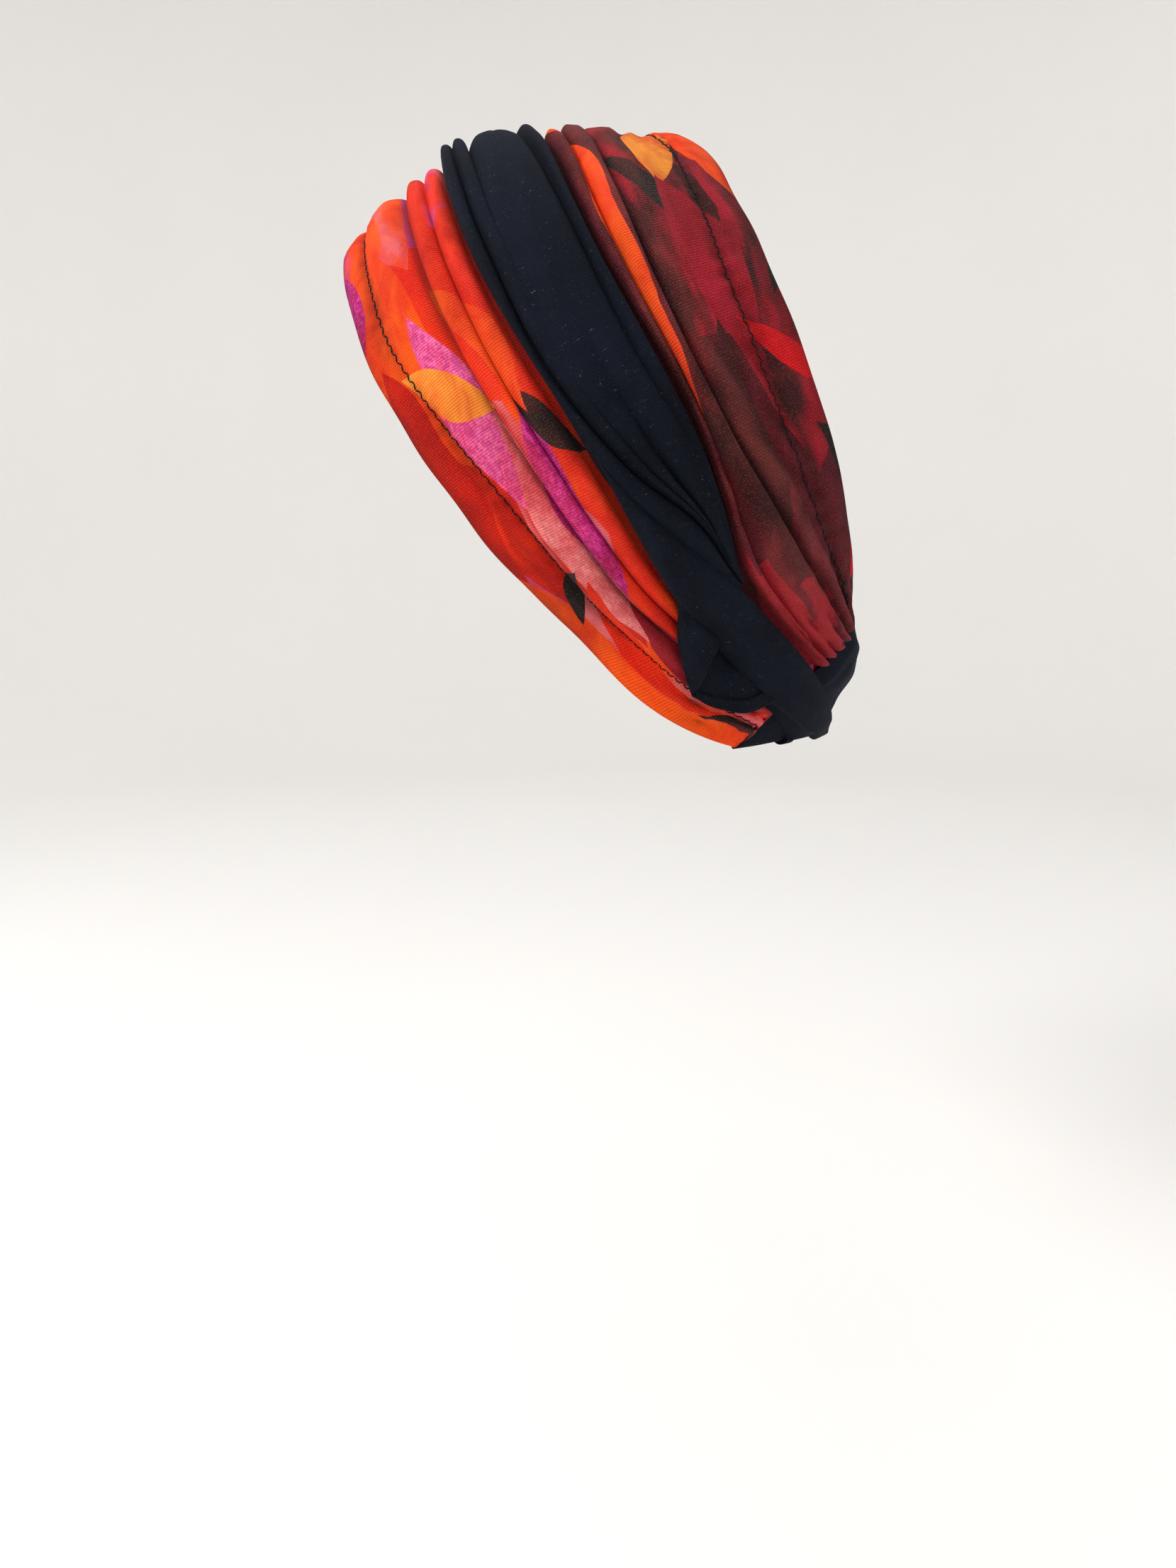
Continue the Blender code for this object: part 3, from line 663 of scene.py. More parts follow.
def band_points(settings):
    """Outer face of the printed band.

    The fold profile, plus small waves, puckers beside the stitching, gathers that deepen
    towards the seams, and pleat ends that round off there like a quarter circle.
    """
    crowding = np.linspace(-1.0, 1.0, BAND_STATIONS)
    along = np.sign(crowding) * (1.0 - (1.0 - np.abs(crowding)) ** SEAM_CROWDING)
    distance = np.abs(along)
    width = band_width(along)
    places, heights = fold_profile(BAND_FOLDS, BAND_STATION_AT, distance, width)
    length = along[None, :] * math.radians(SEAM_FRONT_TURN) * HOLLOW_HALF_LENGTH
    edge_hold = smooth_step(0.0, EDGE_HOLD[0], places) * smooth_step(0.0, EDGE_HOLD[1], 1.0 - places)
    heights = with_band_waves(settings, heights, places, width, length, edge_hold)
    gather = smooth_step(GATHER_FROM, 1.0, distance)
    pleat = gather_pleats(places, distance)
    depth = gather_depth(places, distance, gather)
    heights = heights + depth * (pleat - GATHER_MIDDLE) * edge_hold
    heights, run_over = pleat_ends(places, heights, distance, pleat)
    turn, lean = band_place(along[None, :], places)
    turn = turn + np.sign(along) * run_over
    heights = pressed_by_tail(turn, lean, heights)
    aside = places - 0.5
    outward = np.sign(aside) * smooth_step(*EDGE_WAVE_FROM, np.abs(aside))
    sideways = ripple(BAND_EDGE_WAVE, length, places * width) / HOLLOW_HALF_LENGTH
    lean = lean + np.degrees(sideways) * outward * settings.wave_share * (1.0 - gather)
    return ring_point(turn, lean, np.maximum(heights, settings.jersey_wall))


def strap_points(settings):
    """Outer face of the tie strap: the fold profile plus small waves that die out at the pinch."""
    along = np.linspace(STRAP_START, STRAP_PINCH, STRAP_STATIONS)
    width = band_width(along)
    places, heights = fold_profile(STRAP_FOLDS, STRAP_STATION_AT, along, width)
    length = along[None, :] * math.radians(SEAM_FRONT_TURN) * HOLLOW_HALF_LENGTH
    quiet = 1.0 - smooth_step(STRAP_QUIET_FROM, STRAP_PINCH, along)
    waves = ripple(STRAP_WAVE, length, places * width[None, :])
    heights = heights + settings.wave_share * waves * quiet
    fall = 1.0 - np.clip((along - STRAP_START) / STRAP_END, 0.0, 1.0)
    heights = mix(STRAP_FOOT, heights, np.sqrt(1.0 - fall**2))
    turn, lean = band_place(along[None, :], places)
    return ring_point(turn, lean, heights)


def nape_place(along, across):
    """Turn and lean on the nape band; along runs from the left seam at 0 to the right at 1."""
    seam_turn = mix(SEAM_FRONT_TURN, SEAM_BACK_TURN, across**2)
    seam_lean = mix(BAND_EDGES[-1].front_lean, BAND_EDGES[-1].back_lean, across)
    middle_lean = mix(NAPE_FRONT_LEAN, NAPE_BACK_LEAN, across)
    seam_gap = np.degrees(SEAM_GAP / (HOLLOW_HALF_LENGTH + NAPE_LIFT))
    turn = mix(seam_turn + seam_gap, 360.0 - seam_turn - seam_gap, along)
    bow = 1.0 - (2.0 * along - 1.0) ** 2
    return turn, mix(seam_lean, middle_lean, bow)


def nape_points(along, across, waves=0.0):
    """Outer face of the nape band, with both edges rolled inwards."""
    turn, lean = nape_place(along, across)
    roll = NAPE_ROLL_HEIGHT * (1.0 - (2.0 * across - 1.0) ** NAPE_ROLL_CURVE)
    puff = smooth_step(NAPE_PUFF_AT[0], NAPE_PUFF_AT[1], across)
    puff = puff * (1.0 - smooth_step(NAPE_PUFF_AT[2], 1.0, across))
    puff = NAPE_PUFF * puff * smooth_step(0.0, NAPE_PUFF_SEAM, np.minimum(along, 1.0 - along))
    return ring_point(turn, lean, NAPE_EDGE_HEIGHT + roll + puff + waves)


def puckered_nape(settings):
    """Grid of the nape band's outer face with its small waves, which are deepest at the seams."""
    along = np.linspace(0.0, 1.0, NAPE_STATIONS)[None, :]
    across = np.linspace(0.0, 1.0, NAPE_COLUMNS)[:, None]
    near_seam = mix(NAPE_QUIET_MIDDLE, 1.0, (2.0 * along - 1.0) ** 2)
    inside = 1.0 - (2.0 * across - 1.0) ** NAPE_QUIET_EDGE_CURVE
    waves = ripple(NAPE_WAVE, along * NAPE_LENGTH, across * NAPE_WIDTH)
    return nape_points(along, across, waves * near_seam * inside * settings.wave_share)


def nape_frame(along, across):
    """Middle of the nape band's wall, with its directions away from the edge and outwards."""
    face = nape_points(along, across)
    inland = nape_points(along, across + EDGE_SHARE) - face
    sideways = nape_points(along + EDGE_SHARE, across) - face
    outward = np.cross(sideways, inland)
    inland /= np.linalg.norm(inland, axis=-1, keepdims=True)
    outward /= np.linalg.norm(outward, axis=-1, keepdims=True)
    return face - outward * NAPE_WALL / 2.0, inland, outward


def wrap_over(settings):
    """The wrap from its tip beside the strap to the nape band.

    Each station is an arc of an ellipse that goes past its own sides and curls under: the
    place across follows the sine of the angle and the height its cosine.
    """
    rows = np.linspace(0.0, len(WRAP_RUN) - 1.0, WRAP_STATIONS)
    column = {}
    for field in Crossing._fields:
        values = [getattr(row, field) for row in WRAP_RUN]
        column[field] = smooth_through(range(len(WRAP_RUN)), values, rows)
    angle = np.radians(np.linspace(-WRAP_ROUND, WRAP_ROUND, WRAP_COLUMNS))[:, None]
    across = 0.5 + 0.5 * np.sin(angle)
    turn = mix(column["front_turn"], column["back_turn"], across)
    lean = mix(column["front_lean"], column["back_lean"], across)
    side = column["side"] * MM
    rise = (column["crest"] - column["side"]) * MM
    height = side + np.where(np.cos(angle) > 0.0, rise, WRAP_UNDERSIDE) * np.cos(angle)
    size = np.radians(column["back_lean"] - column["front_lean"]) * HOLLOW_HALF_LENGTH
    length = np.radians(turn) * HOLLOW_HALF_LENGTH
    hold = smooth_step(0.0, 1.0, np.cos(angle)) * smooth_step(0.0, WRAP_TIP, size)
    height = height + settings.wave_share * ripple(WRAP_WAVE, length, across * size) * hold
    lap_at = np.interp(rows, LAP_ROWS, LAP_AT, left=-1.0)
    height = height - LAP_DEPTH * smooth_step(0.0, LAP_RAMP, lap_at - across)
    return ring_point(turn, lean, height)


def wrap_tuck():
    """The wrap's end: a half turn round the nape band's front edge, and a stretch inside it."""
    angle = np.radians(np.linspace(-WRAP_ROUND, WRAP_ROUND, WRAP_COLUMNS))
    across = 0.5 + 0.5 * np.sin(angle)
    along = mix(*TUCK_SHARES, across)
    curl = (1.0 - np.cos(angle)) * 0.5 * WRAP_UNDERSIDE * TUCK_CURL
    rows = []
    middle, inland, outward = nape_frame(along, np.full_like(along, EDGE_SHARE))
    for share in np.linspace(0.0, 1.0, TUCK_STATIONS):
        turn = math.pi * share
        lap = LAP_DEPTH * smooth_step(0.0, LAP_RAMP, mix(*LAP_TURN_AT, share) - across)
        radius = np.maximum(mix(*TUCK_RADIUS, share) - curl - lap, TUCK_LEAST_RADIUS)[:, None]
        rows.append(middle + radius * (outward * math.cos(turn) - inland * math.sin(turn)))
    for reach in np.linspace(EDGE_SHARE, TUCK_REACH, TUCK_STATIONS // 2)[1:]:
        middle, inland, outward = nape_frame(along, np.full_like(along, reach))
        rows.append(middle - outward * radius)
    return np.stack(rows, axis=1)


def tail_points(settings):
    """The folded tail: a pocket of one sheet, hemmed at its mouth.

    Along runs from the hidden top to the mouth. Side runs from the lower wall's end at -1 to
    the fold at 0 and the upper wall's end at 1. The lower wall sinks behind its rim, and the
    upper wall stands up towards the mouth and comes down again under the wrap.
    """
    along = np.linspace(TAIL_START, 1.0, TAIL_STATIONS)[None, :, None]
    side = np.linspace(-1.0, 1.0, TAIL_COLUMNS)[:, None, None]
    top = np.array(TAIL_TOP)
    fold = mix(top, np.array(TAIL_CORNER), along)
    fold = fold - np.array([0.0, TAIL_SIDE_BOW]) * np.sin(np.pi * along**TAIL_BOW_CURVE)
    rim = mix(top, np.array(TAIL_RIM), along)
    mouth = mix(top, np.array(TAIL_MOUTH), along)
    place = mix(fold, np.where(side < 0.0, rim, mouth), np.abs(side))
    sag = np.where(side < 0.0, TAIL_RIM_SAG, TAIL_MOUTH_SAG)
    sag = sag * np.sin(np.pi * np.abs(side)) * along**TAIL_SAG_CURVE
    turn, lean = place[..., 0] + sag[..., 0], place[..., 1]
    along, side = along[..., 0], side[..., 0]
    drop = TAIL_FOLD_HEIGHT - TAIL_FLOOR_HEIGHT
    sunk = smooth_step(0.0, TAIL_SUNK_TO, -side) * drop
    rim_rise = TAIL_RIM_RISE * smooth_step(TAIL_RIM_FROM, 1.0, along)
    rim_rise = rim_rise * smooth_step(*TAIL_RIM_SPAN, -side)
    under_wrap = smooth_step(TAIL_UNDER_WRAP, 1.0, side)
    standing = smooth_step(-TAIL_TURN_SHARE, TAIL_OPEN_FROM, side) * (1.0 - under_wrap)
    open_height = mix(*TAIL_OPEN_HEIGHT, along**TAIL_OPEN_CURVE)
    height = TAIL_FOLD_HEIGHT - sunk + rim_rise + open_height * standing - under_wrap * drop
    length = np.radians(turn) * HOLLOW_HALF_LENGTH
    breadth = np.radians(lean) * HOLLOW_HALF_LENGTH
    height = height + settings.wave_share * ripple(TAIL_WAVE, length, breadth)
    from_mouth = ring_point(turn, lean, height).transpose(1, 0, 2)[::-1]
    hem = rolled_edge(from_mouth, surface_normals(from_mouth), TAIL_HEM, TAIL_HEM_ROWS)
    return np.concatenate([hem, from_mouth])


def thread_points(column, normals, settings):
    """Path of a stitched thread along a column of the band.

    Sideways it is a triangle wave of one stitch's length, and its height dips at the turns,
    where the needle went in.
    """
    steps = np.linalg.norm(np.diff(column, axis=0), axis=-1)
    length = np.concatenate([[0.0], np.cumsum(steps)])
    at = np.arange(0.0, length[-1], settings.stitch_length / THREAD_STEPS)
    path = np.stack([np.interp(at, length, column[:, axis]) for axis in range(3)], axis=-1)
    normal = np.stack([np.interp(at, length, normals[:, axis]) for axis in range(3)], axis=-1)
    normal /= np.linalg.norm(normal, axis=-1, keepdims=True)
    tangent = np.gradient(path, axis=0)
    sideways = np.cross(normal, tangent)
    sideways /= np.linalg.norm(sideways, axis=-1, keepdims=True)
    phase = at / settings.stitch_length
    zigzag = np.abs((phase % 1.0) * 2.0 - 1.0) * 2.0 - 1.0
    dip = 1.0 - zigzag**4
    lift = settings.thread_radius * (THREAD_DIP + THREAD_RISE * dip)
    path = path + sideways * (zigzag * settings.stitch_width / 2.0)[:, None]
    return path + normal * lift[:, None], normal


def thread_tube(path, normal, radius):
    """Round tube along a path: a ring of points at each station, across the path's direction."""
    tangent = np.gradient(path, axis=0)
    tangent /= np.linalg.norm(tangent, axis=-1, keepdims=True)
    sideways = np.cross(normal, tangent)
    sideways /= np.linalg.norm(sideways, axis=-1, keepdims=True)
    upwards = np.cross(tangent, sideways)
    angle = np.linspace(0.0, 2.0 * np.pi, THREAD_SIDES + 1)[:, None, None]
    return path + radius * (sideways * np.cos(angle) + upwards * np.sin(angle))


def tube_faces(stations):
    """Quads of a closed tube with a lid at each end, and the same with the seam left open."""
    open_faces = grid_faces(THREAD_SIDES + 1, stations).tolist()
    ring = np.arange(THREAD_SIDES) * stations
    open_faces += [ring[::-1].tolist(), (ring + stations - 1).tolist()]
    closed_faces = [[corner % (THREAD_SIDES * stations) for corner in face] for face in open_faces]
    return closed_faces, open_faces


def new_material(name):
    """Material with nodes, and its tree and shader."""
    material = bpy.data.materials.new(name)
    material.use_nodes = True
    return material, material.node_tree, material.node_tree.nodes["Principled BSDF"]


# A noise pattern; its scale is how many of its lumps lie in a metre
Noise = namedtuple("Noise", "scale detail rough distortion")


def linear(code):
    """Scene colour of a hexadecimal sRGB code."""
    parts = np.array([int(code[start:start + 2], 16) for start in (1, 3, 5)]) / 255.0
    parts = np.where(parts <= 0.04045, parts / 12.92, ((parts + 0.055) / 1.055) ** 2.4)
    return tuple(float(part) for part in parts)


def add_node(tree, kind, inputs=None, **settings):
    """A node with its settings, and with each named input set or linked."""
    node = tree.nodes.new(kind)
    for name, value in settings.items():
        setattr(node, name, value)
    for name, value in (inputs or {}).items():
        if isinstance(value, bpy.types.NodeSocket):
            tree.links.new(value, node.inputs[name])
        else:
            node.inputs[name].default_value = value
    return node


def calculate(tree, operation, *values):
    """Output of a Math node."""
    return add_node(tree, "ShaderNodeMath", dict(enumerate(values)), operation=operation).outputs[0]


def ramp(tree, factor, stops, interpolation="LINEAR"):
    """Output of a colour ramp through the stops, each a place and a colour."""
    node = add_node(tree, "ShaderNodeValToRGB", {"Fac": factor})
    node.color_ramp.interpolation = interpolation
    elements = node.color_ramp.elements
    while len(elements) < len(stops):
        elements.new(1.0)
    for element, (place, colour) in zip(elements, stops):
        element.position = place
        element.color = (*colour, 1.0)
    return node.outputs["Color"]


def blend_colours(tree, factor, first, second, blend_type="MIX"):
    """Output of a colour Mix node."""
    node = add_node(tree, "ShaderNodeMix", data_type="RGBA", blend_type=blend_type)
    for socket, value in ((node.inputs[0], factor), (node.inputs[6], first), (node.inputs[7], second)):
        if isinstance(value, bpy.types.NodeSocket):
            tree.links.new(value, socket)
        elif isinstance(value, (tuple, list)):
            socket.default_value = (*value, 1.0)
        else:
            socket.default_value = value
    return node.outputs[2]


def vector_math(tree, operation, first, second):
    """Output of a Vector Math node."""
    return add_node(tree, "ShaderNodeVectorMath", {0: first, 1: second}, operation=operation).outputs[0]


def ranged(tree, value, low, high, to_low=0.0, to_high=1.0, smooth=False):
    """Output of a Map Range node, clamped. Any of the values may be a socket."""
    kind = "SMOOTHSTEP" if smooth else "LINEAR"
    inputs = {"Value": value, "From Min": low, "From Max": high, "To Min": to_low, "To Max": to_high}
    return add_node(tree, "ShaderNodeMapRange", inputs, interpolation_type=kind).outputs["Result"]


def noise(tree, vector, kind, output="Fac"):
    """Output of a Noise Texture node of one kind."""
    inputs = {"Vector": vector, "Scale": kind.scale, "Detail": kind.detail}
    inputs.update({"Roughness": kind.rough, "Distortion": kind.distortion})
    return add_node(tree, "ShaderNodeTexNoise", inputs).outputs[output]


def new_group(name, inputs, outputs, output_type="NodeSocketFloat"):
    """Empty node group with its sockets, and its input and output nodes."""
    tree = bpy.data.node_groups.new(name, "ShaderNodeTree")
    for socket, kind, default in inputs:
        made = tree.interface.new_socket(socket, in_out="INPUT", socket_type=kind)
        if default is not None:
            made.default_value = default
    for socket in outputs:
        tree.interface.new_socket(socket, in_out="OUTPUT", socket_type=output_type)
    return tree, tree.nodes.new("NodeGroupInput"), tree.nodes.new("NodeGroupOutput")


def use_group(tree, name, build, inputs):
    """Node of a shared group, which is built when it is first used."""
    group = bpy.data.node_groups.get(name) or build()
    return add_node(tree, "ShaderNodeGroup", inputs, node_tree=group)


# Knit: the distance between its columns, its stitches in the length of that, and the shares of
# the column's hump and of the stitch's arms in its height
KNIT_PITCH = 0.00078
KNIT_STITCHES = 1.3
KNIT_HUMP = 0.65
KNIT_ARM = 0.7
# The knit's painted shade and highlight: the colour is darkened between the stitches and lightened on
# their humps, by their height
KNIT_SHADE = (0.1, 0.95, 0.66, 1.10)


def jersey_knit_group():
    """Plain knit: columns of V stitches.

    The height across a column is a parabola, and the arms of the V rise along it as a
    triangle wave that is shifted by the distance from the column's middle.
    """
    inputs = (("Vector", "NodeSocketVector", None), ("Pitch", "NodeSocketFloat", KNIT_PITCH))
    tree, given, result = new_group("jersey_knit", inputs, ("Height", "Shade"))
    place = add_node(tree, "ShaderNodeSeparateXYZ", {"Vector": given.outputs["Vector"]})
    column = calculate(tree, "DIVIDE", place.outputs["X"], given.outputs["Pitch"])
    column = calculate(tree, "FRACT", column)
    aside = calculate(tree, "ABSOLUTE", calculate(tree, "SUBTRACT", column, 0.5))
    row = calculate(tree, "DIVIDE", place.outputs["Y"], given.outputs["Pitch"])
    row = calculate(tree, "ADD", calculate(tree, "MULTIPLY", row, KNIT_STITCHES), aside)
    arm = calculate(tree, "SUBTRACT", calculate(tree, "FRACT", row), 0.5)
    arm = calculate(tree, "MULTIPLY", calculate(tree, "ABSOLUTE", arm), KNIT_ARM)
    hump = calculate(tree, "MULTIPLY", calculate(tree, "POWER", aside, 2.0), 4.0)
    hump = calculate(tree, "MULTIPLY", calculate(tree, "SUBTRACT", 1.0, hump), KNIT_HUMP)
    height = calculate(tree, "ADD", hump, arm)
    tree.links.new(height, result.inputs["Height"])
    # Shade: painted shade between the stitches and painted highlight on their humps
    tree.links.new(ranged(tree, height, *KNIT_SHADE), result.inputs["Shade"])
    return tree


# Tone: broad clouds, the yarn's fleck, and lint that is stretched across the cloth
CLOUD = Noise(38.0, 4.0, 0.55, 0.0)
FLECK = Noise(1500.0, 2.0, 0.7, 0.0)
LINT = Noise(2600.0, 1.0, 0.4, 2.2)
LINT_STRETCH = (1.0, 0.16, 1.0)
LINT_SPAN = (0.73, 0.78)


def cloth_tone_group():
    """Tone of worn jersey: broad clouds, a fine fleck of the yarn, and stray lint."""
    inputs = (("Vector", "NodeSocketVector", None),)
    tree, given, result = new_group("cloth_tone", inputs, ("Cloud", "Fleck", "Lint"))
    vector = given.outputs["Vector"]
    tree.links.new(noise(tree, vector, CLOUD), result.inputs["Cloud"])
    tree.links.new(noise(tree, vector, FLECK), result.inputs["Fleck"])
    speck = noise(tree, vector_math(tree, "MULTIPLY", vector, LINT_STRETCH), LINT)
    tree.links.new(ranged(tree, speck, *LINT_SPAN, smooth=True), result.inputs["Lint"])
    return tree


# Painted light of the folds: up to which crest the valleys get painted shade, and on which
# crests and in which clouds the cloth pales, partly painted sheen and partly stretched cloth
SHADED_TO = 0.5
STRETCH_AND_SHEEN_CRESTS = (0.70, 1.0)
STRETCH_AND_SHEEN_CLOUDS = (0.35, 0.60)


def fold_shade_and_sheen_group():
    """Painted shade in the folds' valleys, and a paling on their crests: partly painted sheen, partly
    stretched cloth.
    """
    sockets = (("Crest", 1.0), ("Cloud", 0.5), ("Valley", 0.5), ("Fading", 0.1))
    inputs = [(name, "NodeSocketFloat", default) for name, default in sockets]
    tree, given, result = new_group("fold_painted_shade_and_sheen", inputs, ("Shade", "Fade"))
    crest = given.outputs["Crest"]
    shade = ranged(tree, crest, 0.0, SHADED_TO, given.outputs["Valley"], 1.0, smooth=True)
    tree.links.new(shade, result.inputs["Shade"])
    patchy = ranged(tree, given.outputs["Cloud"], *STRETCH_AND_SHEEN_CLOUDS)
    stretch_and_sheen = calculate(tree, "MULTIPLY", ranged(tree, crest, *STRETCH_AND_SHEEN_CRESTS), given.outputs["Fading"])
    tree.links.new(calculate(tree, "MULTIPLY", stretch_and_sheen, patchy), result.inputs["Fade"])
    return tree


# How soft a petal's outline is, as a share of its half width
PETAL_EDGE = 0.03


def petal_group():
    """Mask of a pointed petal in its own coordinates, from -1 to 1 both ways.

    A point is inside where its distance from a bent middle line is less than the parabola
    that falls to nothing at both tips.
    """
    inputs = (("Vector", "NodeSocketVector", None), ("Bend", "NodeSocketFloat", 0.0))
    tree, given, result = new_group("petal", inputs, ("Mask",))
    place = add_node(tree, "ShaderNodeSeparateXYZ", {"Vector": given.outputs["Vector"]})
    square = calculate(tree, "POWER", calculate(tree, "ABSOLUTE", place.outputs["X"]), 2.0)
    middle = calculate(tree, "MULTIPLY", square, given.outputs["Bend"])
    aside = calculate(tree, "ABSOLUTE", calculate(tree, "SUBTRACT", place.outputs["Y"], middle))
    inside = calculate(tree, "SUBTRACT", calculate(tree, "SUBTRACT", 1.0, square), aside)
    tree.links.new(ranged(tree, inside, 0.0, PETAL_EDGE), result.inputs["Mask"])
    return tree


# The print's petals: metres along the cloth from the right seam and across it from the front
# edge, half the length and width, the turn in degrees, the bend and the paint. Each is painted
# again on the other side of the crown.
Petal = namedtuple("Petal", "along across length width turn bend paint")
PETALS = (
    Petal(0.318, 0.030, 0.046, 0.020, 12.0, 0.3, "orange"),
    Petal(0.300, 0.012, 0.024, 0.012, -20.0, -0.4, "magenta"),
    Petal(0.352, 0.052, 0.036, 0.012, 20.0, 0.4, "pink"),
    Petal(0.372, 0.020, 0.050, 0.016, -8.0, -0.3, "deep_red"),
    Petal(0.398, 0.066, 0.050, 0.009, 6.0, 0.3, "salmon"),
    Petal(0.342, 0.046, 0.022, 0.006, 62.0, 0.3, "amber"),
    Petal(0.420, 0.028, 0.036, 0.013, 14.0, -0.4, "orange"),
    Petal(0.380, 0.078, 0.034, 0.010, -6.0, 0.2, "magenta"),
    Petal(0.436, 0.050, 0.034, 0.008, -16.0, 0.3, "vermilion"),
    Petal(0.408, 0.046, 0.015, 0.0045, -52.0, 0.4, "charcoal"),
    Petal(0.446, 0.074, 0.030, 0.012, 10.0, 0.3, "crimson"),
    Petal(0.462, 0.030, 0.040, 0.014, -12.0, 0.2, "orange"),
    Petal(0.468, 0.052, 0.018, 0.005, 24.0, -0.3, "charcoal"),
    Petal(0.490, 0.012, 0.030, 0.010, 8.0, 0.3, "amber"),
    Petal(0.360, 0.090, 0.018, 0.005, 50.0, 0.3, "charcoal"),
    Petal(0.332, 0.074, 0.026, 0.008, 30.0, -0.3, "orange"),
    Petal(0.296, 0.236, 0.034, 0.014, 24.0, 0.3, "orange"),
    Petal(0.286, 0.206, 0.026, 0.012, -30.0, 0.3, "amber"),
    Petal(0.310, 0.190, 0.022, 0.006, 40.0, -0.4, "charcoal"),
    Petal(0.318, 0.160, 0.060, 0.006, 2.0, 0.2, "orange"),
    Petal(0.338, 0.206, 0.034, 0.014, 10.0, -0.3, "crimson"),
    Petal(0.336, 0.240, 0.020, 0.005, -40.0, 0.3, "charcoal"),
    Petal(0.370, 0.226, 0.026, 0.0045, 58.0, 0.5, "scarlet"),
    Petal(0.392, 0.186, 0.040, 0.012, -10.0, 0.3, "rosewood"),
    Petal(0.404, 0.236, 0.018, 0.005, 30.0, -0.4, "charcoal"),
    Petal(0.430, 0.214, 0.034, 0.012, 14.0, 0.3, "burgundy"),
    Petal(0.428, 0.244, 0.020, 0.0045, -24.0, 0.4, "scarlet"),
    Petal(0.454, 0.184, 0.024, 0.009, -28.0, 0.3, "crimson"),
    Petal(0.476, 0.204, 0.016, 0.0045, 20.0, 0.3, "magenta"),
    Petal(0.470, 0.232, 0.030, 0.008, 4.0, -0.2, "rosewood"),
)
CROWN_ALONG = 0.272

# The print's paints
PAINTS = {
    "orange": "#FA5208",
    "amber": "#FF9A33",
    "vermilion": "#EE2C04",
    "scarlet": "#DA0C1C",
    "deep_red": "#CE1A04",
    "salmon": "#E56C70",
    "pink": "#D9498F",
    "magenta": "#B80E74",
    "crimson": "#A0142A",
    "burgundy": "#5C1223",
    "rosewood": "#3E1419",
    "charcoal": "#1E1E1D",
}

# Pale veins of the marbled paints
MARBLED = {"pink": "#FF6FA8", "magenta": "#E23C98", "salmon": "#F58C88"}
VEINS = Noise(420.0, 3.0, 0.6, 1.4)
VEIN_SPAN = (0.44, 0.60)

# Broad washes under the petals: their paints in front of the change and behind it, in metres
# across, the size and stretch of their cells, and where two of them run into each other
FRONT_WASH = ("orange", "vermilion", "deep_red", "vermilion", "salmon", "orange", "vermilion", "pink")
BACK_WASH = ("burgundy", "rosewood", "burgundy", "crimson", "rosewood", "burgundy", "rosewood", "crimson")
WASH_CHANGE = (0.124, 0.128)
WASH_SCALE = 34.0
WASH_STRETCH = (0.42, 1.0, 1.0)
WASH_RUN = Noise(40.0, 3.0, 0.6, 0.0)
WASH_RUN_SPAN = (0.44, 0.56)

# The bend of every painted line in metres, and the blooms, stains, wet clouds and flecks
PRINT_BEND = 0.018
BEND = Noise(16.0, 1.0, 0.4, 0.0)
BLOOM = Noise(95.0, 5.0, 0.65, 0.0)
BLOOM_SPAN = (0.50, 0.72, 0.0, 0.24)
BLOOM_PAINT = "#96301E"
STAIN = Noise(48.0, 6.0, 0.62, 0.6)
STAIN_SPAN = (0.42, 0.60)
STAIN_STOPS = ((0.0, (1.0, 1.0, 1.0)), (1.0, (0.78, 0.34, 0.42)))
STAIN_SHARE = 0.9
WET_SPAN = (0.32, 0.68, 0.76, 1.18)
FLECK_SPAN = (0.50, 0.75, 0.0, 0.10)
FLECK_PAINT = "#F5B8A4"


def even_stops(names):
    """Colour stops at even places, for a ramp with constant steps."""
    return [(index / len(names), linear(PAINTS[name])) for index, name in enumerate(names)]


def bent_place(tree, vector):
    """Places on the cloth, shifted so that every painted line bends a little."""
    shift = vector_math(tree, "SUBTRACT", noise(tree, vector, BEND, "Color"), (0.5, 0.5, 0.5))
    shift = vector_math(tree, "MULTIPLY", shift, (PRINT_BEND, PRINT_BEND, PRINT_BEND))
    return vector_math(tree, "ADD", vector, shift)


def washes(tree, bent):
    """Voronoi cells of paint that run into each other, warm in front and dark red behind."""
    stretched = vector_math(tree, "MULTIPLY", bent, WASH_STRETCH)
    cell_inputs = {"Vector": stretched, "Scale": WASH_SCALE}
    cells = add_node(tree, "ShaderNodeTexVoronoi", cell_inputs, voronoi_dimensions="2D")
    chance = add_node(tree, "ShaderNodeSeparateColor", {"Color": cells.outputs["Color"]})
    run = ranged(tree, noise(tree, stretched, WASH_RUN), *WASH_RUN_SPAN)
    sides = []
    for names in (FRONT_WASH, BACK_WASH):
        first = ramp(tree, chance.outputs[0], even_stops(names), "CONSTANT")
        second = ramp(tree, chance.outputs[1], even_stops(names), "CONSTANT")
        sides.append(blend_colours(tree, run, first, second))
    place = add_node(tree, "ShaderNodeSeparateXYZ", {"Vector": bent})
    return blend_colours(tree, ranged(tree, place.outputs["Y"], *WASH_CHANGE), *sides)


